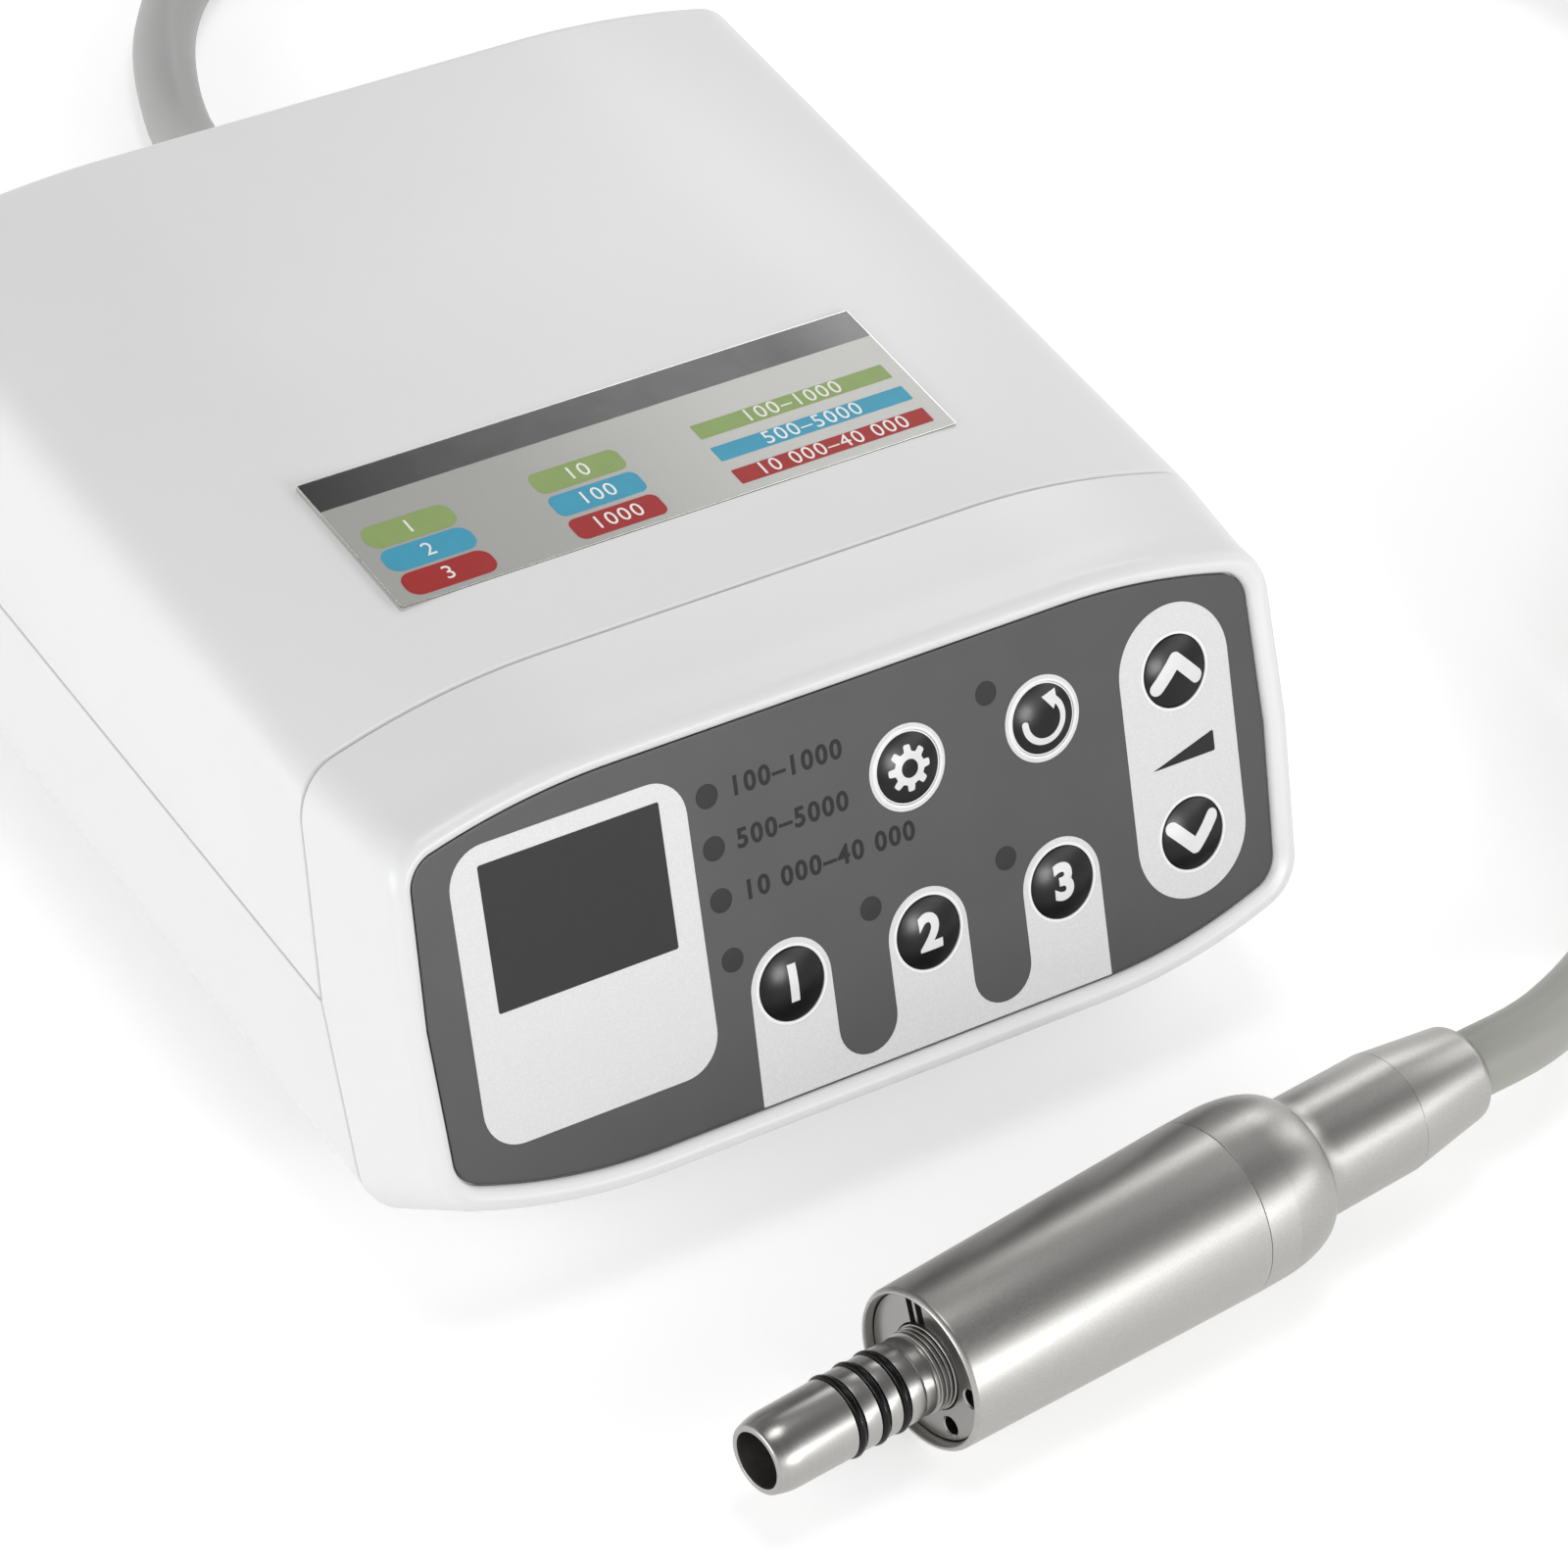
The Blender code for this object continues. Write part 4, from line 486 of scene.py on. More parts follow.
def fine_grain():
    """Group: moulded or blasted grain on Object coordinates, as a mask and a bumped normal."""
    if "Fine grain" in bpy.data.node_groups:
        return bpy.data.node_groups["Fine grain"]
    tree = bpy.data.node_groups.new("Fine grain", "ShaderNodeTree")
    face = tree.interface
    for name, value in (("Scale", 1500.0), ("Strength", 0.1), ("Depth", 0.00002)):
        face.new_socket(name, in_out="INPUT", socket_type="NodeSocketFloat").default_value = value
    face.new_socket("Vector", in_out="INPUT", socket_type="NodeSocketVector")
    face.new_socket("Mask", in_out="OUTPUT", socket_type="NodeSocketFloat")
    face.new_socket("Normal", in_out="OUTPUT", socket_type="NodeSocketVector")
    given = tree.nodes.new("NodeGroupInput").outputs
    noise = add_node(tree, "ShaderNodeTexNoise", {
        "Vector": given["Vector"], "Scale": given["Scale"], "Detail": 3.0, "Roughness": 0.6})
    bump = add_node(tree, "ShaderNodeBump", {
        "Height": noise.outputs["Fac"], "Strength": given["Strength"], "Distance": given["Depth"]})
    add_node(tree, "NodeGroupOutput", {"Mask": noise.outputs["Fac"], "Normal": bump.outputs["Normal"]})
    return tree


class Finish:
    """A material under construction: a Principled shader fed by nodes on Object coordinates."""

    def __init__(self, name, **sockets):
        self.material = bpy.data.materials.new(name)
        self.material.use_nodes = True
        self.tree = self.material.node_tree
        self.shader = self.tree.nodes["Principled BSDF"]
        self.set(**sockets)
        self.place = self.add("ShaderNodeTexCoord").outputs["Object"]

    def set(self, **sockets):
        for key, value in sockets.items():
            socket = self.shader.inputs[key.replace("_", " ")]
            if isinstance(value, bpy.types.NodeSocket):
                self.tree.links.new(value, socket)
            else:
                socket.default_value = value
        return self.material

    def add(self, kind, inputs=None, **settings):
        return add_node(self.tree, kind, inputs, **settings)

    def grain(self, scale, strength, depth):
        """Bumps the surface, and returns the grain's mask."""
        made = self.add("ShaderNodeGroup", node_tree=fine_grain())
        for key, value in (("Scale", scale), ("Strength", strength), ("Depth", depth)):
            made.inputs[key].default_value = value
        self.tree.links.new(self.place, made.inputs["Vector"])
        self.set(Normal=made.outputs["Normal"])
        return made.outputs["Mask"]

    def bump(self, height, strength, distance):
        made = self.add("ShaderNodeBump", {"Height": height, "Strength": strength, "Distance": distance})
        self.set(Normal=made.outputs["Normal"])

    def noise(self, scale):
        noise = self.add("ShaderNodeTexNoise", {"Vector": self.place, "Scale": scale, "Detail": 2.0})
        return noise.outputs["Fac"]

    def part(self, vector, axis):
        return self.add("ShaderNodeSeparateXYZ", {"Vector": vector}).outputs[axis]

    def spread(self, value, low, high, to_low=0.0, to_high=1.0):
        """Carries a value from one range to another."""
        made = self.add("ShaderNodeMapRange", {
            "Value": value, "From Min": low, "From Max": high, "To Min": to_low, "To Max": to_high})
        return made.outputs["Result"]

    def vary(self, mask, low, high):
        """A number that follows a mask, for roughness."""
        return self.spread(mask, 0.3, 0.7, low, high)

    def tint(self, mask, base, amount):
        """The base colour, darker and lighter by a share where the mask is low and high."""
        dark = tuple(c * (1 - amount) for c in base)
        light = tuple(min(1, c * (1 + amount)) for c in base)
        return ramp(self.tree, mask, [(0.3, dark), (0.7, light)])

    def in_frame(self, matrix):
        """Object coordinates seen from a piece's own axes."""
        inverse = matrix.inverted()
        made = self.add("ShaderNodeMapping", {"Vector": self.place}, vector_type="POINT")
        made.inputs["Location"].default_value = inverse.translation
        made.inputs["Rotation"].default_value = inverse.to_euler()
        return made.outputs["Vector"]


def plain(name, base, roughness, grain, tint, blotches=None, **sockets):
    """A plain finish with a grain of (scale, strength, depth), which also carries its roughness.

    The base colour is tinted by the grain, or by blotches of the scale that is given.
    """
    look = Finish(name, **sockets)
    mask = look.grain(*grain)
    colour_mask = look.noise(blotches) if blotches else mask
    return look.set(Base_Color=look.tint(colour_mask, tuple(base), tint),
                    Roughness=look.vary(mask, *roughness))


def plain_print(name, base, roughness=0.4, variation=0.03, ior=1.5):
    return plain(name, base, (roughness - 0.04, roughness + 0.04), (3000.0, 0.08, 0.00001),
                 variation, 400.0, IOR=ior)


def plain_metal(name, base, roughness):
    return plain(name, base, (roughness - 0.04, roughness + 0.06), (1500.0, 0.15, 0.00002), 0.08,
                 Metallic=1.0)


def rubber(name, base, roughness, scale=1800.0, ior=1.5):
    return plain(name, base, (roughness - 0.05, roughness + 0.05), (scale, 0.25, 0.00003), 0.15, IOR=ior)


def moulded(name, base, roughness, scale=1700.0):
    return plain(name, base, (roughness - 0.04, roughness + 0.04), (scale, 0.22, 0.00003), 0.06, IOR=1.48)


def case_plastic():
    """White plastic of the covers and the bezel, made once."""
    name, s = "White case plastic", bpy.context.scene.micromotor_case
    return bpy.data.materials.get(name) or plain(
        name, s.plastic, (s.roughness - 0.03, s.roughness + 0.03), (2600.0, 0.1, 0.00002), 0.006, 55.0,
        IOR=1.46, Coat_Weight=0.12, Coat_Roughness=0.22)


def silver_print():
    """Silver ink: each flake, a cell of a Voronoi pattern, has its own glint."""
    look = Finish("Silver print", Metallic=0.25, IOR=1.5)
    base = tuple(bpy.context.scene.micromotor_panel.silver)
    flakes = look.add("ShaderNodeTexVoronoi", {"Vector": look.place, "Scale": 7800.0}).outputs["Color"]
    glint = look.add("ShaderNodeSeparateColor", {"Color": flakes}).outputs["Red"]
    look.grain(3800.0, 0.12, 0.00002)
    gains = ((0.0, 0.93), (0.75, 1), (1.0, 1.08))
    stops = [(place, tuple(min(1, c * gain) for c in base)) for place, gain in gains]
    return look.set(Base_Color=ramp(look.tree, glint, stops), Roughness=look.vary(glint, 0.42, 0.5))


def label_metal():
    look = Finish("Polished label metal", Metallic=1.0)
    mask = look.noise(25.0)
    return look.set(Base_Color=look.tint(mask, (0.66, 0.66, 0.63), 0.08),
                    Roughness=look.vary(mask, 0.14, 0.22))


def along_label(look):
    """0 to 1 from the label's left end to its right end: the mask of the label's painted reflections."""
    return look.spread(look.part(look.in_frame(LABEL), "X"), -LABEL_HALF_WIDTH, LABEL_HALF_WIDTH)


def label_ground():
    """Pale satin ground, lighter towards the label's right end by a painted reflection."""
    look = Finish("Label ground", Metallic=0.3)
    base = tuple(bpy.context.scene.micromotor_label.ground)
    mask = look.grain(1600.0, 0.06, 0.00001)
    # Painted reflection: the tint along the label makes the ground lighter towards its right end.
    return look.set(Base_Color=look.tint(along_label(look), base, 0.14), Roughness=look.vary(mask, 0.3, 0.36))


def label_band():
    """Glossy black, greyer towards both ends of the band, where a reflection is painted."""
    look = Finish("Label black band", IOR=1.5)
    # Painted reflection: the ramp along the band lightens it towards its ends, most at the right end.
    stops = [(0.0, 0.005), (0.3, 0.012), (0.72, 0.03), (0.84, 0.012), (1.0, 0.15)]
    return look.set(Base_Color=ramp(look.tree, along_label(look), stops, "EASE"),
                    Roughness=look.vary(look.noise(400.0), 0.16, 0.2))


def satin_steel():
    """Blasted steel, a little darker from the end cap's straight part on."""
    look = Finish("Satin steel", Metallic=1.0)
    s = bpy.context.scene.micromotor_motor
    mask = look.grain(3200.0, 0.22, 0.00002)
    base = look.tint(look.noise(5200.0), tuple(s.steel), 0.08)
    reach = 0.1
    zone = look.spread(look.part(look.in_frame(MOTOR), "X"), 0.0, reach)
    stops = [(0.0, 1.0), (CAP_SHOULDER / reach, 0.94), (CONE_EDGE / reach, 0.97)]
    tone = ramp(look.tree, zone, stops, "CONSTANT")
    toned = look.add("ShaderNodeVectorMath", {0: base, 1: tone}, operation="MULTIPLY")
    return look.set(Base_Color=toned.outputs[0],
                    Roughness=look.vary(mask, s.roughness - 0.03, s.roughness + 0.04))


def turned_steel(name, roughness, base=(0.62, 0.61, 0.59)):
    """Turned steel: fine tool marks round the motor's axis, from noise along it."""
    look = Finish(name, Metallic=1.0)
    inputs = {"W": look.part(look.in_frame(MOTOR), "X"), "Scale": 5000.0, "Detail": 2.0}
    marks = look.add("ShaderNodeTexNoise", inputs, noise_dimensions="1D").outputs["Fac"]
    look.bump(marks, 0.1, 0.00001)
    return look.set(Base_Color=look.tint(marks, base, 0.04),
                    Roughness=look.vary(marks, roughness - 0.02, roughness + 0.03))


def brushed_metal():
    """Sawn and brushed aluminium: noise drawn out along Y."""
    look = Finish("Plain aluminium", Metallic=1.0)
    drawn = look.add("ShaderNodeMapping", {"Vector": look.place, "Scale": (3000.0, 60.0, 3000.0)})
    inputs = {"Vector": drawn.outputs["Vector"], "Scale": 1.0, "Detail": 3.0}
    noise = look.add("ShaderNodeTexNoise", inputs).outputs["Fac"]
    return look.set(Base_Color=look.tint(noise, (0.6, 0.6, 0.61), 0.1),
                    Roughness=look.vary(noise, 0.34, 0.46))


def winding():
    """Copper wire wound in the stator: fine bands round the motor's axis, dark between the turns as painted
    shade.
    """
    look = Finish("Copper winding", Metallic=1.0)
    inputs = {"Vector": look.in_frame(MOTOR), "Scale": 900.0, "Distortion": 0.4}
    wave = look.add("ShaderNodeTexWave", inputs, bands_direction="X").outputs["Fac"]
    look.bump(wave, 0.8, 0.0001)
    # The dark end of the ramp is painted shade in the grooves between the turns.
    return look.set(Base_Color=ramp(look.tree, wave, [(0.0, (0.2, 0.08, 0.03)), (1.0, (0.62, 0.3, 0.14))]),
                    Roughness=look.vary(wave, 0.3, 0.4))


def circuit_board():
    """Green lacquer with straight tracks, from a brick pattern."""
    look = Finish("Circuit board", IOR=1.5)
    bricks = look.add("ShaderNodeTexBrick", {
        "Vector": look.place, "Scale": 160.0, "Mortar Size": 0.03, "Brick Width": 0.9, "Row Height": 0.22,
        "Color1": (0.012, 0.085, 0.04, 1), "Color2": (0.016, 0.11, 0.05, 1), "Mortar": (0.03, 0.18, 0.08, 1)})
    return look.set(Base_Color=bricks.outputs["Color"], Roughness=look.vary(look.noise(900.0), 0.38, 0.5))


def hose_silicone():
    """Smooth grey silicone; the stretch that enters the motor is a little warmer and darker, which is painted
    shade.
    """
    look = Finish("Grey hose silicone", IOR=1.42, Subsurface_Weight=0.08, Subsurface_Scale=0.002,
                  Sheen_Weight=0.05)
    s = bpy.context.scene.micromotor_hose
    mask = look.grain(1400.0, 0.06, 0.00002)
    # Painted shade: towards the front of the bench the hose turns to the darker, warmer motor end colour.
    back = look.spread(look.part(look.place, "Y"), -0.03, 0.05)
    base = ramp(look.tree, back, [(0.0, tuple(s.motor_end)), (1.0, tuple(s.grey))])
    return look.set(Base_Color=base, Roughness=look.vary(mask, 0.38, 0.44))


def inlet_plastic():
    """Black moulding whose two pins are bright metal: the pins are told from the rest by their place."""
    pin_reach, pin_radius, pin_length = 0.0052, 0.00135, 0.0119
    low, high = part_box("power_inlet")
    look = Finish("Inlet plastic and pins", IOR=1.48)
    mask = look.grain(1700.0, 0.2, 0.00003)
    centre = (-(low.x + high.x) / 2, 0, -(low.z + high.z) / 2)
    centred = look.add("ShaderNodeMapping", {"Vector": look.place, "Location": centre})
    split = look.add("ShaderNodeSeparateXYZ", {"Vector": centred.outputs["Vector"]}).outputs
    side = calculate(look.tree, "SUBTRACT", calculate(look.tree, "ABSOLUTE", split["X"]), pin_reach)
    across = look.add("ShaderNodeCombineXYZ", {"X": side, "Y": split["Z"]}).outputs[0]
    far = look.add("ShaderNodeVectorMath", {0: across}, operation="LENGTH").outputs["Value"]
    near = calculate(look.tree, "LESS_THAN", far, pin_radius)
    outer = calculate(look.tree, "GREATER_THAN", split["Y"], high.y - pin_length)
    pin = calculate(look.tree, "MULTIPLY", near, outer)
    base = ramp(look.tree, pin, [(0.0, (0.026, 0.026, 0.027)), (1.0, (0.62, 0.6, 0.55))])
    return look.set(Base_Color=base, Metallic=pin, Roughness=look.vary(mask, 0.38, 0.46))


def dress(look, *nodes):
    """Gives CAD nodes that stay in view their material."""
    for name in nodes:
        materials = frame["nodes"][name].data.materials
        materials.clear()
        materials.append(look)


# --- Outlines of the shell --------------------------------------------------------------------

def quadrant(end_half, extent, flat, crown, corner, steps=20):
    """A quarter of a crowned outline: flat middle, crown arc, then the corner arc down to the side.

    The crown's circle stands under the end of the flat, and the corner's circle touches it inside.
    """
    corner_x, crown_h = end_half - corner, extent - crown
    corner_h = crown_h + math.sqrt((crown - corner) ** 2 - (corner_x - flat) ** 2)
    meet = math.atan2(corner_h - crown_h, corner_x - flat)
    a = np.linspace(math.pi / 2, meet, steps + 1)
    b = np.linspace(meet, 0, steps + 1)[1:]
    return np.vstack([
        np.column_stack([flat + crown * np.cos(a), crown_h + crown * np.sin(a)]),
        np.column_stack([corner_x + corner * np.cos(b), corner_h + corner * np.sin(b)])])


def mirrored(right):
    return np.vstack([right, right[::-1] * (-1, 1)])


def body_half(side, inset=0.0):
    half = quadrant(SHOULDER_HALF_WIDTH - inset, BODY_HALF_HEIGHT - inset, BODY_FLAT,
                    BODY_CROWN - inset, BODY_CORNER - inset)
    return half * (1, side)


def body_outline(inset=0.0):
    """The whole section, clockwise from the right end of the top's flat middle."""
    return mirrored(np.vstack([
        body_half(1, inset), [(BODY_HALF_WIDTH - inset, 0)], body_half(-1, inset)[::-1]]))


def film_outline(grow=0.0, bottom_extra=0.0):
    """The outline of the panel's film, made larger all round by an amount."""
    def half(extent, crown, extra=0.0):
        return quadrant(FILM_END + grow, extent + grow + extra, FILM_FLAT, crown + grow, FILM_CORNER + grow)

    upper, lower = half(*FILM_UPPER), half(*FILM_LOWER, bottom_extra) * (1, -1)
    return mirrored(np.vstack([upper, [(FILM_HALF_WIDTH + grow, 0)], lower[::-1]]))


def film_at(grow, z):
    """The film's outline at a level, drawn in on the right: x - 0.001 (x / half width)^2 for x > 0."""
    outline = film_outline(grow)
    x = np.maximum(outline[:, 0], 0)
    outline[:, 0] -= 0.001 * (x / FILM_HALF_WIDTH) ** 2
    return at_depth(outline, z)


def lip_at(width, z):
    return at_depth(film_outline(width, LIP_DROP), z)


def lean_y(height, depth):
    """Y of a point at a height above the panel's centre, so deep behind the panel's face."""
    return (depth + height * math.sin(PANEL_LEAN)) / math.cos(PANEL_LEAN)


def on_panel(outline, depth):
    """An upright section's outline, moved along Y to a depth behind the panel, in panel axes."""
    x, h = outline.T
    v = (h - PANEL_RISE + depth * math.sin(PANEL_LEAN)) / math.cos(PANEL_LEAN)
    return at_depth(np.column_stack([x, v]), -depth)


def cover_section(side, inset):
    """Half of the case's wall in section: out over the outside, back along the inside."""
    def arch(amount, rounding):
        edge, reach = side * PARTING_GAP / 2, BODY_HALF_WIDTH - amount
        near, far = 0.3 * rounding, rounding
        corner = [(reach - far, edge), (reach - near, edge + side * near), (reach, edge + side * far)]
        return mirrored(np.vstack([corner, body_half(side, amount)[::-1]]))

    return np.vstack([arch(inset, EDGE_ROUNDING), arch(WALL, 0.0001)[::-1]])


def cover_rings(side):
    """The section carried from the leaning parting plane to the rounded back edge."""
    def ring(y_of, inset):
        x, h = cover_section(side, inset).T
        return np.column_stack([x, y_of(h), SEAM_Z + h])

    parting = BEZEL_DEPTH + PARTING_GAP / 2
    rings = []
    for a in np.linspace(0, math.pi / 2, 4):
        start, inset = EDGE_ROUNDING * (1 - math.cos(a)), EDGE_ROUNDING * (1 - math.sin(a))
        rings.append(ring(lambda h: lean_y(h - PANEL_RISE, parting) + start, inset))
    for a in np.linspace(0, math.pi / 2, 7):
        y = BODY_DEPTH - BACK_ROUNDING * (1 - math.sin(a))
        rings.append(ring(lambda h: np.full(len(h), y), BACK_ROUNDING * (1 - math.cos(a))))
    return np.array(rings)


def key_places():
    c1, c2, c3, c4 = KEY_COLUMNS
    return {"key_memory_1": (c1, -KEY_ROW), "key_memory_2": (c2, -KEY_ROW), "key_memory_3": (c3, -KEY_ROW),
            "key_gear": (c2, KEY_ROW), "key_reverse": (c3, KEY_ROW),
            "key_speed_up": (c4, KEY_ROW), "key_speed_down": (c4, -KEY_ROW)}


def lamp_places():
    places = {f"lamp_range_{k}": (-0.02064, v) for k, v in ((1, 0.01633), (2, 0.00953), (3, 0.00273))}
    for name in ("memory_1", "memory_2", "memory_3", "reverse"):
        x, v = key_places()["key_" + name]
        places["lamp_" + name] = (x - 0.0078, v + 0.00575)
    return places


# --- Operators --------------------------------------------------------------------------------

class SetStage(bpy.types.Operator):
    """Camera at the photograph's angle, pale bench, soft studio light"""
    bl_idname = "micromotor.stage"
    bl_label = "Stage, light and camera"

    camera_place = (-0.4028, -0.4565, 0.5981)
    camera_axes = ((0.8247, -0.5512, 0.1269), (0.2961, 0.6119, 0.7334), (-0.4819, -0.5672, 0.6679))
    bench_half = 6.0
    lamps = (  # name, place, target, size and power
        ("front_right_softbox", (0.72, -0.86, 0.42), (0.0, -0.05, 0.02), (0.9, 0.24), 1.95),
        ("front_softbox", (0.3, -1.05, 0.3), (0.0, 0.0, 0.03), (0.17, 0.17), 2.6),
        ("left_softbox", (-1.0, 0.0, 0.22), (0.0, 0.02, 0.03), (0.7, 0.3), 3.9),
        ("right_softbox", (1.1, 0.18, 0.76), (0.0, 0.0, 0.0), (0.5, 0.5), 1.5),
        ("back_right_softbox", (0.8, 0.85, 0.8), (0.0, 0.02, 0.03), (0.4, 0.4), 1.6),
        ("overhead_softbox", (0.05, 0.1, 1.15), (0.0, 0.02, 0.03), (0.36, 0.36), 2.15))

    def execute(self, context):
        s = context.scene.micromotor_stage
        lens = bpy.data.cameras.new("camera")
        lens.lens, lens.sensor_width = s.focal_length, 36.0
        lens.clip_start, lens.clip_end = 0.01, 20.0
        camera = bpy.data.objects.new("camera", lens)
        turn = Matrix(self.camera_axes).transposed().to_quaternion().to_matrix().to_4x4()
        camera.matrix_world = UNIT @ shift(*self.camera_place) @ turn
        context.scene.collection.objects.link(camera)
        context.scene.camera = camera
        context.scene.view_settings.view_transform = "Standard"
        self.floor(context, s)
        self.world(context, s)
        for lamp in self.lamps:
            self.softbox(context, *lamp)
        return {"FINISHED"}

    def floor(self, context, s):
        """A pale bench that keeps its shadows, and glows where the camera or a glossy surface sees it."""
        r = self.bench_half
        mesh = bpy.data.meshes.new("bench")
        mesh.from_pydata([(-r, -r, 0), (r, -r, 0), (r, r, 0), (-r, r, 0)], [], [(0, 1, 2, 3)])
        bench = bpy.data.objects.new("bench", mesh)
        context.scene.collection.objects.link(bench)
        look = bpy.data.materials.new("Pale bench")
        look.use_nodes = True
        tree = look.node_tree
        tree.nodes.clear()
        rays = add_node(tree, "ShaderNodeLightPath").outputs
        seen = calculate(tree, "MAXIMUM", rays["Is Camera Ray"], rays["Is Glossy Ray"])
        seen = calculate(tree, "MAXIMUM", seen, rays["Is Transmission Ray"])
        glow = calculate(tree, "MULTIPLY", seen, s.floor_glow)
        paint = add_node(tree, "ShaderNodeBsdfDiffuse", {"Color": (*s.floor_colour, 1.0)}).outputs[0]
        light = add_node(tree, "ShaderNodeEmission", {"Strength": glow}).outputs[0]
        both = add_node(tree, "ShaderNodeAddShader", {0: paint, 1: light}).outputs[0]
        add_node(tree, "ShaderNodeOutputMaterial", {"Surface": both})
        mesh.materials.append(look)

    def world(self, context, s):
        """White round the horizon and darker overhead."""
        world = bpy.data.worlds.new("studio")
        context.scene.world = world
        world.use_nodes = True
        tree = world.node_tree
        tree.nodes.clear()
        place = add_node(tree, "ShaderNodeTexCoord").outputs["Generated"]
        z = add_node(tree, "ShaderNodeSeparateXYZ", {"Vector": place}).outputs["Z"]
        sky = ramp(tree, z, [(0.0, s.horizon), (0.4, s.horizon), (0.7, s.zenith), (1.0, s.zenith)], "EASE")
        light = add_node(tree, "ShaderNodeBackground", {"Color": sky, "Strength": 1.0})
        add_node(tree, "ShaderNodeOutputWorld", {"Surface": light.outputs[0]})

    def softbox(self, context, name, place, target, size, power):
        light = bpy.data.lights.new(name, "AREA")
        light.shape, light.energy = "RECTANGLE", power
        light.size, light.size_y = size
        lamp = bpy.data.objects.new(name, light)
        lamp.location = place
        lamp.rotation_euler = (Vector(target) - Vector(place)).to_track_quat("-Z", "Y").to_euler()
        context.scene.collection.objects.link(lamp)


def through(route, step=0.003):
    """Points a step apart on the smooth curve through a route's points.

    Between b and c, with neighbours a and d, the curve is the usual cubic
    (2b + (c-a)t + (2a-5b+4c-d)t^2 + (3b-a-3c+d)t^3) / 2.
    """
    p = np.array(route, float)
    ends = np.vstack([2 * p[0] - p[1], p, 2 * p[-1] - p[-2]])
    a, b, c, d = (ends[k:len(ends) - 3 + k, None] for k in range(4))
    t = np.linspace(0, 1, 24, endpoint=False)[None, :, None]
    cubic = 0.5 * (2 * b + (c - a) * t + (2 * a - 5 * b + 4 * c - d) * t ** 2
                   + (3 * b - a - 3 * c + d) * t ** 3)
    fine = np.vstack([cubic.reshape(-1, 3), p[-1:]])
    along = np.concatenate([[0], np.cumsum(np.linalg.norm(np.diff(fine, axis=0), axis=1))])
    places = np.linspace(0, along[-1], max(2, round(along[-1] / step) + 1))
    return np.stack([np.interp(places, along, fine[:, k]) for k in range(3)], 1)


class AddHose(bpy.types.Operator):
    """Drive hose from the back of the control unit, through its stored coil, to the motor"""
    bl_idname = "micromotor.hose"
    bl_label = "Drive hose"

    lift = 0.0049
    coil_start = (0.157, 0.0282)
    heading = math.radians(231.5)
    coil_radius = 0.0555
    coil_pitch = 0.0098
    turns = 4

    def coil(self, steps=72):
        """Radius R - p(2 - |t - 2|) at turn t: in for two turns, up a layer, and out for two."""
        ahead = np.array([math.cos(self.heading), math.sin(self.heading)])
        inwards = np.array([-ahead[1], ahead[0]])
        centre = np.array(self.coil_start) + self.coil_radius * inwards
        first = math.atan2(-inwards[1], -inwards[0])
        t = np.arange(self.turns * steps + 1) / steps
        radius = self.coil_radius - self.coil_pitch * (2 - np.abs(t - 2))
        climb = np.clip((t - 2) * 2 + 0.5, 0, 1)
        z = self.lift + self.coil_pitch * climb ** 2 * (3 - 2 * climb)
        angle = first + 2 * math.pi * t
        xy = centre + radius[:, None] * np.stack([np.cos(angle), np.sin(angle)], 1)
        return np.column_stack([xy, z]), np.append(ahead, 0)

    def route(self):
        """The route of the CAD model's hose, in the unit's frame."""
        z = self.lift
        coil, ahead = self.coil()
        low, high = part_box("hose_gland")
        x, tip, gland_z = (low.x + high.x) / 2 - UNIT_X, high.y - UNIT_Y, (low.z + high.z) / 2
        out = [(x, tip - 0.009, gland_z), (x, 0.158, gland_z),
               (0.0189, 0.1745, 0.015), (0.0204, 0.189, 0.0082)]
        out += [(*place, z) for place in (
            (0.0232, 0.2024), (0.0278, 0.215), (0.0339, 0.2254), (0.043, 0.235), (0.056, 0.242),
            (0.072, 0.2435), (0.095, 0.237), (0.13, 0.222), (0.17, 0.203), (0.208, 0.184),
            (0.237, 0.164), (0.249, 0.142), (0.246, 0.12), (0.233, 0.101), (0.213, 0.083),
            (0.19, 0.065))]
        out += [coil[0] - ahead * 0.0285, coil[0] - ahead * 0.0095]
        motor = UNIT.inverted() @ MOTOR
        back = [coil[-1] + ahead * 0.0095, coil[-1] + ahead * 0.0141,
                (0.1445, 0.0122, 0.0139), (0.1383, 0.0045, 0.0107), (0.1321, -0.0033, 0.007),
                (0.125, -0.012, z), (0.118, -0.0196, z), (0.1095, -0.0265, 0.0063), (0.1, -0.0325, 0.0088),
                (0.0901, -0.0374, 0.011), (0.08, -0.0407, 0.0123),
                motor @ Vector((NUT_END, 0, 0)), motor @ Vector((NUT_END - 0.0103, 0, 0))]
        return np.vstack([through(out), coil, through(back)]) + (UNIT_X, UNIT_Y, 0)

    def execute(self, context):
        diameter = context.scene.micromotor_hose.diameter
        points = self.route()
        curve = bpy.data.curves.new("drive_hose", "CURVE")
        curve.dimensions, curve.bevel_depth, curve.bevel_resolution = "3D", diameter / 2, 6
        curve.use_fill_caps = True
        spline = curve.splines.new("POLY")
        spline.points.add(len(points) - 1)
        spline.points.foreach_set("co", np.column_stack([points, np.ones(len(points))]).ravel())
        spline.use_smooth = True
        curve.materials.append(hose_silicone())
        hose = bpy.data.objects.new("drive_hose", curve)
        context.scene.collection.objects.link(hose)
        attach(hose, "housing")
        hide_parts("hose_box_run", "hose_coil", "hose_motor_run")
        return {"FINISHED"}


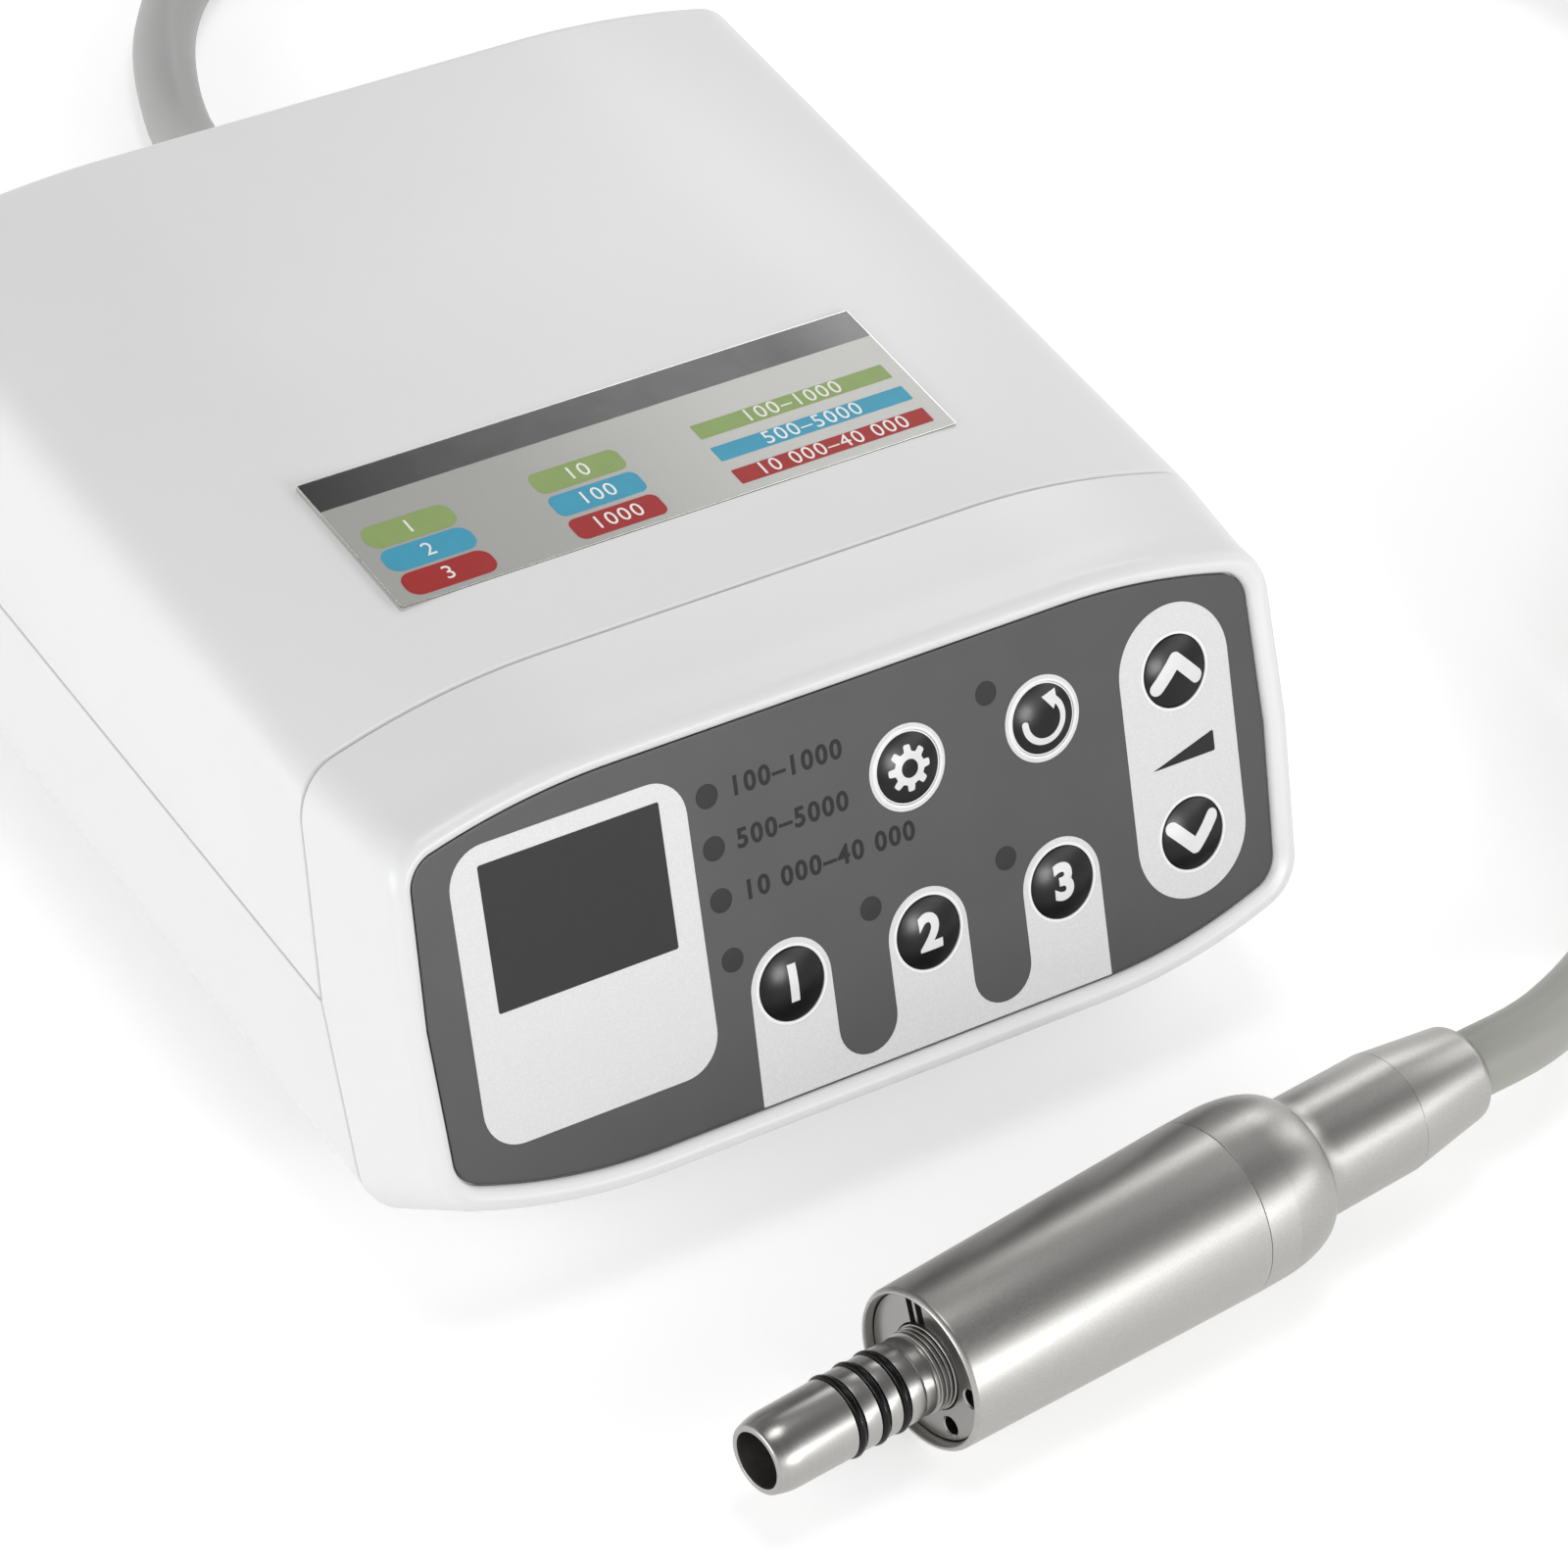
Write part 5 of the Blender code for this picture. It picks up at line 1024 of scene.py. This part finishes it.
class AddCase(bpy.types.Operator):
    """Upper and lower covers, rubber feet and case screws"""
    bl_idname = "micromotor.case"
    bl_label = "Case"

    def execute(self, context):
        for name, side in (("upper_cover", 1), ("lower_cover", -1)):
            cover = surface(name + "_shell", cover_rings(side), case_plastic(), "arch", place=UNIT,
                            node=name, slot="case_plastic")
            if side < 0:
                self.pockets(cover)
        black = rubber("Black foot rubber", (0.016, 0.016, 0.016), 0.62)
        for k, place in enumerate(FOOT_PLACES, 1):
            turned(f"foot_{k}_pad", [
                (0.0, 0.0002, 0), (0.0, FOOT_RADIUS - 0.0012, 0.0004), (0.0009, FOOT_RADIUS, 0.0009),
                (0.0053, FOOT_RADIUS, 0.0002), (0.0053, 0.0002, 0)],
                black, 64, "Z", place=UNIT @ shift(*place), node=f"foot_{k}", slot="black_rubber")
        steel = plain_metal("Screw steel", (0.55, 0.55, 0.54), 0.28)
        for k, place in enumerate(SCREW_PLACES, 1):
            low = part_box(f"case_screw_{k}")[0].z
            screw = turned(f"case_screw_{k}_thread", [
                (low, 0.0002, 0), (low, 0.0027, 0.0004), (low + 0.0019, 0.0028),
                (low + 0.002, SCREW_SHANK), (low + 0.0129, SCREW_SHANK, 0.0003), (low + 0.0129, 0.0002, 0)],
                steel, 40, "Z", place=UNIT @ shift(*place), node=f"case_screw_{k}", slot="polished_steel")
            for x, y in ((0.0017, 0.00035), (0.00035, 0.0017)):
                plan = np.array([(-x, -y), (x, -y), (x, y), (-x, y)]) + (UNIT_X + place[0], UNIT_Y + place[1])
                change(screw, [prism(plan, low - 0.001, low + 0.0012)])
        return {"FINISHED"}

    def pockets(self, cover):
        """Pads for the screws are added first, then the feet's pockets and the screw wells are cut."""
        def rods(places, z0, z1, radius):
            return [rod(UNIT_X + x, UNIT_Y + y, z0, z1, radius) for x, y in places]

        pad_radius, well_radius, well_top, pocket_top = 0.005, 0.0031, 0.0092, 0.0057
        change(cover, rods(SCREW_PLACES, 0.007, 0.012, pad_radius), "UNION")
        change(cover, rods(FOOT_PLACES, -0.002, pocket_top, FOOT_RADIUS + 0.0002)
               + rods(SCREW_PLACES, -0.002, well_top, well_radius))
        change(cover, rods(SCREW_PLACES, 0.008, 0.014, SCREW_SHANK + 0.0003))


class AddFront(bpy.types.Operator):
    """Front bezel with its lip, and the printed film of the key panel"""
    bl_idname = "micromotor.front"
    bl_label = "Front bezel and panel film"

    def execute(self, context):
        s = context.scene.micromotor_panel
        self.bezel()
        ink = plain("Grey panel film", s.film, (0.34, 0.42), (5200.0, 0.18, 0.00002), 0.05, 120.0, IOR=1.45)
        chain = [film_at(-0.0002, -FILM_THICKNESS), film_at(0, -FILM_THICKNESS),
                 film_at(0, 0), film_at(-0.0004, 0)]
        film = surface("panel_film", rounded(chain, 0.00012, 3), ink, place=PANEL,
                       node="panel_overlay", slot="overlay_film")
        change(film, self.holes(0.0001))
        self.prints(plain_print("Dark legend", s.legend, 0.42, ior=1.33))
        return {"FINISHED"}

    def holes(self, play):
        """Cutters for the keys, the lamps and the window."""
        levels = (-0.006, 0.004)
        shapes = [rod(*place, *levels, KEY_RADIUS + play, 72) for place in key_places().values()]
        shapes += [rod(*place, *levels, LAMP_RADIUS + play, 40) for place in lamp_places().values()]
        shapes.append(prism(window_box(play, 0.0004), *levels))
        return [placed(shape, PANEL) for shape in shapes]

    def bezel(self):
        """One shell: inside, parting face, outside, lip and recess floor, as a chain of outlines."""
        parting = BEZEL_DEPTH - PARTING_GAP / 2
        lip_edge = lip_at(LIP_WIDTH, 0.0)
        body = on_panel(body_outline(), parting)
        waist = lip_edge + (body - lip_edge) * (0.0042 / parting)
        waist[:, 1] -= np.where(lip_edge[:, 1] > 0, np.sign(waist[:, 1]) * LIP_DROP, 0)
        chain = np.stack([
            lip_at(LIP_WIDTH - WALL, -PLATE_BACK_DEPTH), on_panel(body_outline(WALL), parting), body, waist,
            lip_edge, lip_at(LIP_WIDTH - 0.0013, LIP_HEIGHT), film_at(0.0005, LIP_HEIGHT / 2),
            film_at(0.0002, 0.0), film_at(0.0002, -PLATE_FRONT_DEPTH)])
        line = rounded(chain, [0, 0.0002, EDGE_ROUNDING, 0.003, 0.0012, 0.001, 0.0004, 0.0003, 0], 6)
        bezel = surface("front_bezel_shell", line, case_plastic(), place=PANEL,
                        node="front_bezel", slot="case_plastic")
        change(bezel, self.holes(0.0002))

    def prints(self, dark):
        silver = silver_print()
        keys = key_places()

        def ringed(*names):
            return [disc(*keys[name], KEY_RADIUS + 0.0001, 72) for name in names]

        shapes = {
            "display_surround": [round_box(-0.0572, -0.0237, -0.0183, 0.0204, 0.0052),
                                 window_box(0.0001, 0.0004)],
            "speed_surround": [round_box(0.04065, 0.05755, -0.0196, 0.0199, 0.00844, 24),
                               *ringed("key_speed_up", "key_speed_down")],
            "gear_ring": [disc(*keys["key_gear"], KEY_RING, 96), *ringed("key_gear")],
            "reverse_ring": [disc(*keys["key_reverse"], KEY_RING, 96), *ringed("key_reverse")],
            "memory_surround": [self.fingers(), *ringed("key_memory_1", "key_memory_2", "key_memory_3")],
        }
        for name, loops in shapes.items():
            printed(name, flat_mesh(name, *loops), silver, PANEL)
        for k, text in enumerate(SPEEDS, 1):
            x, v = lamp_places()[f"lamp_range_{k}"]
            mesh = text_mesh(f"range_{k}", text, 0.0035, spacing=1.2, bold=0.0001)
            reach = max(c.co.x for c in mesh.vertices)
            printed(f"range_figures_{k}", mesh, dark, PANEL, (x + 0.0033 + reach, v))
        wedge = rounded([(0.0442, -0.0012), (0.054, -0.0012), (0.054, 0.0016)], 0.0003, 3, closed=True)
        printed("speed_wedge", flat_mesh("speed_wedge", wedge), dark, PANEL, lift=PRINT)

    def fingers(self):
        """Three fingers with round tops at the memory keys, joined below and cut off at the film's edge."""
        r, bottom, dip, v = 0.0059, -0.02555, -0.0238, -KEY_ROW
        c1, c2, c3 = KEY_COLUMNS[:3]
        valley = (c2 - c1) / 2 - r
        tops = [arc(c, v, r, 180, 0, 24) for c in (c1, c2, c3)]
        dips = [arc((a + b) / 2, dip + valley, valley, 180, 360, 16) for a, b in ((c1, c2), (c2, c3))]
        ends = [(c1 - r - 0.0003, bottom)], [(c3 + r, bottom)]
        return np.vstack([ends[0], tops[0], dips[0], tops[1], dips[1], tops[2], ends[1]])


class AddKeys(bpy.types.Operator):
    """Domed keys with their symbols, lamp lenses and the smoked window"""
    bl_idname = "micromotor.keys"
    bl_label = "Keys, lamps and window"

    def symbols(self):
        made = {f"key_memory_{k}": text_mesh(f"figure_{k}", str(k), 0.0064, bold=0.0003) for k in (1, 2, 3)}
        for name, loops in (("speed_up", [self.chevron(1)]), ("speed_down", [self.chevron(-1)]),
                            ("gear", [self.cog(), disc(0, 0, 0.00122, 32)]),
                            ("reverse", [self.turn_arrow()])):
            made["key_" + name] = flat_mesh(name, *loops)
        return made

    def chevron(self, up):
        """A round-ended chevron, drawn with a round pen: its arms climb at one angle to the tip."""
        pen, half_span, foot, tip = 0.00095, 0.0031, -0.0015, 0.00168
        lean = math.degrees(math.atan2(tip - foot, half_span))
        inside = [(0, tip - pen / math.cos(math.radians(lean)))]
        return np.vstack([
            arc(-half_span, foot, pen, lean - 270, lean - 90, 10), inside,
            arc(half_span, foot, pen, -lean - 90, 90 - lean, 10), arc(0, tip, pen, 90 - lean, 90 + lean, 6)
        ]) * (1, up)

    def cog(self):
        """Radius R + d times a squared-off cosine of eight waves."""
        a = 2 * math.pi * np.arange(192) / 192
        r = 0.00262 + 0.00044 * np.tanh(3.2 * np.cos(8 * a))
        return np.stack([r * np.cos(a), r * np.sin(a)], -1)

    def turn_arrow(self):
        """Two thirds of a ring that ends in a swept arrow head."""
        r, pen = 0.00287, 0.00044
        tail = arc(-r, 0, pen, 0, 180, 8)
        ring = arc(0, 0, r + pen, 180, 408, 48)
        back = arc(0, 0, r - pen, 180, 400, 48)[::-1]
        head = [(0.00225, 0.00345), (0.0, 0.00295), (0.0015, 0.001)]
        return np.vstack([ring, head, back, tail[1:-1]])

    def execute(self, context):
        s = context.scene.micromotor_panel
        self.keys(s)
        near, far = SHOULDER_DEPTH
        lens = plain("Dark lamp lens", (0.024, 0.024, 0.024), (0.46, 0.52), (2500.0, 0.06, 0.00001), 0.08,
                     IOR=1.33)
        for name, place in lamp_places().items():
            turned(name + "_lens", [
                (-0.004, 0.0002, 0), (-0.004, LAMP_FLANGE), (near, LAMP_FLANGE), (near, LAMP_RADIUS),
                (-0.00002, LAMP_RADIUS, 0), (0.00002, LAMP_RADIUS + 0.00014, 0),
                (0.00005, LAMP_RADIUS + 0.00012, 0), (0.00006, LAMP_RADIUS * 0.5, 0.0003),
                (0.00007, 0.0001, 0)],
                lens, 40, "Z", place=PANEL @ shift(*place), node=name, slot="lamp_lens")
        smoke = plain("Smoked window", s.window, (0.44, 0.48), (900.0, 0.02, 0.00001), 0.03, 60.0, IOR=1.36)
        wide, outer, flange = window_box(0.0008, 0.0004), window_box(), window_box(0.00015)
        surface("display_pane", [
            at_depth(wide, far), at_depth(wide, near), at_depth(outer, near), at_depth(outer, 0.00002),
            at_depth(flange, 0.00004), at_depth(flange, 0.00006)],
            smoke, place=PANEL, sharp=20, node="display_window", slot="smoked_window")
        return {"FINISHED"}

    def keys(self, s):
        black = plain("Black key plastic", s.key, (0.22, 0.25), (1800.0, 0.05, 0.00001), 0.15, IOR=1.33)
        white = plain_print("White key print", (0.78, 0.78, 0.78), 0.35)
        pale = plain_print("Pale key rim", (0.9, 0.9, 0.9), 0.34, 0.015)
        symbols = self.symbols()
        near, far = SHOULDER_DEPTH
        r = np.linspace(KEY_RADIUS, 0.0001, 14)
        dome = np.column_stack([np.sqrt(KEY_BALL ** 2 - r ** 2) - KEY_BALL + KEY_DOME, r, 0 * r + 0.00006])
        below = [(far, 0.0002, 0), (far, KEY_FLANGE), (near, KEY_FLANGE), (near, KEY_RADIUS)]
        rim = [(-0.0001, KEY_RADIUS + 0.00006, 0.00003), (0.00016, KEY_RADIUS + 0.00006, 0.00006),
               (0.00016, KEY_RADIUS + 0.00042, 0.0001), (-0.0001, KEY_RADIUS + 0.00055, 0.00003)]
        for name, at in key_places().items():
            place = PANEL @ shift(*at)
            turned(name + "_dome", [*below, *dome], black, 72, "Z", body=name, place=place, steps=2, sharp=40,
                   node=name, slot="key_plastic")
            printed(name + "_symbol", bent_over_dome(symbols[name]), white, place, body=name)
            turned(name + "_rim", rim, pale, 72, "Z", hollow=True, place=place)
            if name in ("key_gear", "key_reverse"):
                edge = flat_mesh("edge", disc(0, 0, KEY_RADIUS, 72), disc(0, 0, KEY_RADIUS - 0.0002, 72))
                printed(name + "_edge", bent_over_dome(edge), pale, place, body=name)


class AddLabel(bpy.types.Operator):
    """Metal label plate on the top, printed with plain figures"""
    bl_idname = "micromotor.label"
    bl_label = "Top label"

    edge = 0.0002
    rows = (("green", 0.0), ("blue", -0.0047), ("red", -0.00945))
    columns = (  # left end, right end, half height and corner radius of a bar, then its three figures
        (-0.039, -0.0262, 0.00213, 0.0018, ("1", "2", "3")),
        (-0.0146, -0.0015, 0.002, 0.0012, ("10", "100", "1000")),
        (0.0096, 0.0389, 0.0014, 0.0002, SPEEDS))

    def box(self, inset, radius, low=-LABEL_HALF_DEPTH, high=LABEL_HALF_DEPTH, steps=4):
        right = LABEL_HALF_WIDTH - inset
        return round_box(-right, right, low + inset, high - inset, radius, steps)

    def execute(self, context):
        s = context.scene.micromotor_label
        plan, top = self.box(0, 0.0004), self.box(0.0001, 0.0003)
        surface("label_plate", [at_depth(plan, -0.0006), at_depth(plan, -0.00008), at_depth(top, 0.0)],
                label_metal(), place=LABEL, sharp=20, node="top_label", slot="label_plate")
        ground = self.box(self.edge, 0.0001, high=0.0069 + self.edge, steps=2)
        printed("label_ground", flat_mesh("label_ground", ground), label_ground(), LABEL)
        band = self.box(self.edge, 0.0001, low=0.00692 - self.edge, steps=2)
        printed("label_band", flat_mesh("label_band", band), label_band(), LABEL)
        white = plain_print("Label figures", (0.85, 0.85, 0.82), 0.35)
        for row, (name, middle) in enumerate(self.rows):
            paint = plain_print("Label " + name, getattr(s, name), 0.33, ior=1.33)
            for column, (x0, x1, half, radius, figures) in enumerate(self.columns, 1):
                piece = f"label_{name}_{column}"
                bar = round_box(x0, x1, middle - half, middle + half, radius, 8)
                printed(piece, flat_mesh(piece, bar), paint, LABEL, lift=PRINT * 0.8)
                mesh = text_mesh(piece + "_figures", figures[row], 0.0033, spacing=1.15)
                printed(piece + "_figures", mesh, white, LABEL, ((x0 + x1) / 2, middle), PRINT * 1.6)
        return {"FINISHED"}


class AddBack(bpy.types.Operator):
    """Hose gland, foot control socket, and the finishes of the rear panel's other fittings"""
    bl_idname = "micromotor.back"
    bl_label = "Back fittings"

    def execute(self, context):
        dark = moulded("Black fitting plastic", (0.028, 0.028, 0.029), 0.45)
        self.gland(dark)
        self.socket()
        dress(moulded("Rear panel plastic", (0.03, 0.03, 0.031), 0.5, 1300.0), "rear_panel")
        dress(dark, "rocker_frame", "power_rocker")
        dress(inlet_plastic(), "power_inlet")
        return {"FINISHED"}

    def middle(self, node):
        """A place on the axis of a fitting that points along Y, and the fitting's two ends."""
        low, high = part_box(node)
        return shift((low.x + high.x) / 2, 0, (low.z + high.z) / 2), low.y, high.y

    def gland(self, dark, ribs=5, wide=0.0076, narrow=0.0062):
        """Thread, collar and nut, then a boot of ribs that taper to the tip, round the hose's bore."""
        place, low, tip = self.middle("hose_gland")
        face = UNIT_Y + BODY_DEPTH - 0.0012
        nut = face + 0.004
        profile = [(low, 0.0075, 0.0003), (face, 0.0075), (face, 0.0092, 0.0002), (nut, 0.0092, 0.0008)]
        pitch = (tip - nut - 0.001) / ribs
        for i in range(ribs):
            start, r = nut + 0.0002 + pitch * i, wide + (narrow - wide) * (i + 0.5) / ribs
            middle, end = start + pitch * 0.55, start + pitch * 0.98
            profile += [(start, r, 0.0003), (middle, r, 0.0003), (middle, r - 0.0006), (end, r - 0.0006)]
        depth, hose_bore = 0.0093, 0.0048
        profile += [(tip, narrow - 0.0006, 0.0002), (tip, hose_bore), (tip - depth, hose_bore),
                    (tip - depth, INNER_BORE), (low, INNER_BORE)]
        turned("hose_gland_boot", profile, dark, 72, "Y", hollow=True, steps=3, place=place,
               node="hose_gland", slot="fitting_plastic")

    def socket(self, pins=4, pin_circle=0.0046):
        place, low, collar = self.middle("foot_control_socket")
        turned("foot_control_socket_collar", [
            (low, 0.008, 0.0003), (collar - 0.0022, 0.008), (collar - 0.0022, 0.0098, 0.0002),
            (collar, 0.0098, 0.0007), (collar, 0.0066, 0.0004), (collar - 0.0086, 0.0062),
            (low, 0.0062)],
            turned_steel("Socket steel", 0.2), 96, "Y", hollow=True, place=place,
            node="foot_control_socket", slot="polished_steel")
        turned("foot_control_socket_insert", [
            (low + 0.0002, 0.0002, 0), (low + 0.0002, 0.0061), (collar - 0.0088, 0.0061, 0.0003),
            (collar - 0.0088, 0.0002, 0)],
            moulded("Socket insert plastic", (0.02, 0.02, 0.02), 0.5), 64, "Y", place=place)
        gold = plain_metal("Gilt contact", (0.72, 0.52, 0.22), 0.25)
        for k in range(pins):
            a = 2 * math.pi * (k + 0.5) / pins
            turned(f"foot_control_pin_{k + 1}", [
                (collar - 0.0096, 0.0001, 0), (collar - 0.0096, 0.0006, 0.00005),
                (collar - 0.0014, 0.0006, 0.0003), (collar - 0.001, 0.0001, 0)],
                gold, 24, "Y", place=place @ shift(pin_circle * math.cos(a), 0, pin_circle * math.sin(a)))


class AddMotor(bpy.types.Operator):
    """Steel sleeve, end cap, hose nut, front plate, nose and its rings"""
    bl_idname = "micromotor.motor"
    bl_label = "Motor"

    def execute(self, context):
        self.body(satin_steel())
        self.nose(turned_steel("Turned nose steel", 0.3, (0.405, 0.398, 0.385)))
        self.plate(turned_steel("Turned plate steel", 0.27, (0.36, 0.35, 0.34)))
        black = rubber("Glossy ring rubber", (0.004, 0.004, 0.004), 0.26, 2600.0, ior=1.3)
        for k, s in enumerate(O_RING_PLACES, 1):
            section = np.insert(disc(s, 0.0049, O_RING_WIRE, 20), 2, 0.00005, axis=1)
            self.part(f"o_ring_{k}_seal", section, black, 96, f"o_ring_{k}", "black_rubber", steps=1)
        return {"FINISHED"}

    def part(self, name, profile, look, sides, node, slot, **rest):
        return turned(name, profile, look, sides, hollow=True, place=MOTOR, node=node, slot=slot, **rest)

    def body(self, satin):
        back = SEAM - 0.00003
        self.part("motor_sleeve_tube", [
            (0.0, 0.01035, 0.0002), (0.00045, SLEEVE_FRONT, 0.0003), (back, SLEEVE_REAR, 0.00006),
            (back, 0.0099, 0.0002), (0.0006, 0.0099, 0.0002), (0.0, 0.0101, 0.0002)],
            satin, 160, "motor_sleeve", "satin_steel")
        self.part("motor_end_cap_body", self.cap_profile(), satin, 160, "motor_end_cap", "satin_steel",
                  steps=6)
        front, end, depth, hose_bore = CONE_EDGE + 0.00003, NUT_END, 0.0106, 0.0049
        self.part("hose_nut_body", [
            (front, INNER_BORE), (front, CONE_RADIUS, 0.00006), (end - 0.0012, 0.0065, 0.0006),
            (end, 0.0053, 0.0003), (end, hose_bore), (end - depth, hose_bore), (end - depth, INNER_BORE)],
            satin, 160, "hose_nut", "satin_steel")

    def cap_profile(self):
        """Cylinder, dome as a quarter ellipse, hollow fillet, then the straight neck."""
        dome_length, neck, fillet = 0.00875, 0.00825, 0.0027
        rise = fillet * 0.24
        drop = SLEEVE_REAR - neck - rise
        a = np.linspace(0, math.pi / 2, 28)
        dome = np.column_stack([CAP_SHOULDER + dome_length * np.sin(a), SLEEVE_REAR - drop * (1 - np.cos(a)),
                                0 * a + 0.0002])
        b = np.linspace(0, math.pi / 2, 10)[1:]
        hollow = np.column_stack([CAP_SHOULDER + dome_length + fillet * (1 - np.cos(b)),
                                  neck + rise * (1 - np.sin(b)), 0 * b + 0.0002])
        return [(SEAM - 0.005, BEARING_SEAT), (SEAM - 0.005, SLEEVE_BORE), (SEAM + 0.00005, SLEEVE_BORE),
                (SEAM + 0.00005, SLEEVE_REAR, 0.00006), *dome, *hollow,
                (CONE_EDGE, CONE_RADIUS, 0.00004), (CONE_EDGE, INNER_BORE),
                (SEAM - 0.0017, INNER_BORE), (SEAM - 0.0017, BEARING_SEAT)]

    def nose(self, bright):
        """Tip with its bore, three grooves, and a stack of thin rings at the root."""
        wall, groove = NOSE_RADIUS, 0.0042
        bore = 0.0037
        profile = [(NOSE_TIP, bore, 0.0002), (NOSE_TIP, 0.0045, 0.0004), (NOSE_TIP + 0.0022, 0.00512, 0.0012)]
        for s in O_RING_PLACES:
            near, far = s - 0.0007, s + 0.0007
            profile += [(near, wall), (near, groove), (far, groove), (far, wall)]
        profile += [(-0.0032, wall), (-0.003, 0.005, 0.0002), (-0.0014, wall, 0.0002), (-0.0012, 0.0049)]
        for s in (-0.0009, -0.0002, 0.0005):
            profile += [(s, 0.005, 0.00005), (s + 0.0001, 0.0054), (s + 0.0004, 0.0054),
                        (s + 0.0005, 0.005, 0.00005)]
        profile += [(0.0011, 0.005), (0.0011, 0.0056, 0.0002), (0.0079, 0.0056), (0.0079, SLEEVE_BORE),
                    (0.0121, SLEEVE_BORE), (0.0121, BEARING_SEAT), (0.0088, BEARING_SEAT),
                    (0.0088, INNER_BORE), (-0.0062, INNER_BORE), (-0.0062, bore)]
        self.part("nose_spigot_body", profile, bright, 128, "nose_spigot", "polished_steel")

    def plate(self, bright):
        """Front plate with two chamfered ports, and a slot whose two cuts leave a ridge between them."""
        front, back, inner = 0.0014, 0.0076, 0.00575
        plate = self.part("front_plate_disc", [
            (front, inner), (front, SLEEVE_BORE), (back, SLEEVE_BORE), (back, inner)],
            bright, 128, "front_plate", "polished_steel")
        cuts = []
        for angle in PORT_ANGLES:
            y, z = arc(0, 0, PORT_CIRCLE, angle, angle, 0)[0]
            rings = ((0.0004, 0.0017), (0.0013, 0.0015), (0.0016, PORT_RADIUS), (0.0085, PORT_RADIUS))
            cuts.append(placed([np.insert(disc(y, z, r, 40), 0, s, axis=1) for s, r in rings], MOTOR))
        turn = MOTOR @ Matrix.Rotation(math.radians(SLOT_ANGLE), 4, "X")
        for low, high in ((-0.0014, -0.0003), (0.0002, 0.0014)):
            slot = np.array([(0.005, low), (0.011, low), (0.011, high), (0.005, high)])
            cuts.append(placed([np.insert(slot, 0, s, axis=1) for s in (0.0004, 0.003)], turn))
        change(plate, cuts)


class DressInside(bpy.types.Operator):
    """Finishes of the parts inside the case and the motor"""
    bl_idname = "micromotor.inside"
    bl_label = "Inside parts"

    def execute(self, context):
        dress(moulded("Display glass", (0.03, 0.03, 0.032), 0.25), "display_module")
        dress(circuit_board(), "key_board", "main_board")
        dress(moulded("Power module casing", (0.075, 0.075, 0.085), 0.6, 900.0), "power_module")
        dress(brushed_metal(), "heat_sink")
        dress(winding(), "stator")
        dress(plain_metal("Magnet alloy", (0.2, 0.2, 0.22), 0.35), "rotor_magnet")
        dress(turned_steel("Ground shaft steel", 0.2, (0.58, 0.58, 0.57)),
              "rotor_shaft", "drive_dog", "front_bearing", "rear_bearing")
        return {"FINISHED"}


class MicromotorPanel(bpy.types.Panel):
    """Lists the steps that build the object's looks"""
    bl_idname = "VIEW3D_PT_micromotor"
    bl_label = "Dental micromotor"
    bl_space_type = "VIEW_3D"
    bl_region_type = "UI"
    bl_category = "Micromotor"

    def draw(self, context):
        for step in STEPS:
            self.layout.operator(step.bl_idname)


STEPS = (SetStage, AddHose, AddCase, AddFront, AddKeys, AddLabel, AddBack, AddMotor, DressInside)
SETTINGS = {
    "micromotor_stage": StageSettings, "micromotor_hose": HoseSettings, "micromotor_case": CaseSettings,
    "micromotor_panel": PanelSettings, "micromotor_label": LabelSettings, "micromotor_motor": MotorSettings,
}


def register():
    for cls in (*SETTINGS.values(), *STEPS, MicromotorPanel):
        bpy.utils.register_class(cls)
    for name, cls in SETTINGS.items():
        setattr(bpy.types.Scene, name, bpy.props.PointerProperty(type=cls))


def unregister():
    for name in SETTINGS:
        delattr(bpy.types.Scene, name)
    for cls in reversed((*SETTINGS.values(), *STEPS, MicromotorPanel)):
        bpy.utils.unregister_class(cls)


def main():
    register()
    bpy.ops.micromotor.stage()
    bpy.ops.micromotor.hose()
    bpy.ops.micromotor.case()
    bpy.ops.micromotor.front()
    bpy.ops.micromotor.keys()
    bpy.ops.micromotor.label()
    bpy.ops.micromotor.back()
    bpy.ops.micromotor.motor()
    bpy.ops.micromotor.inside()


if __name__ == "__main__":
    main()
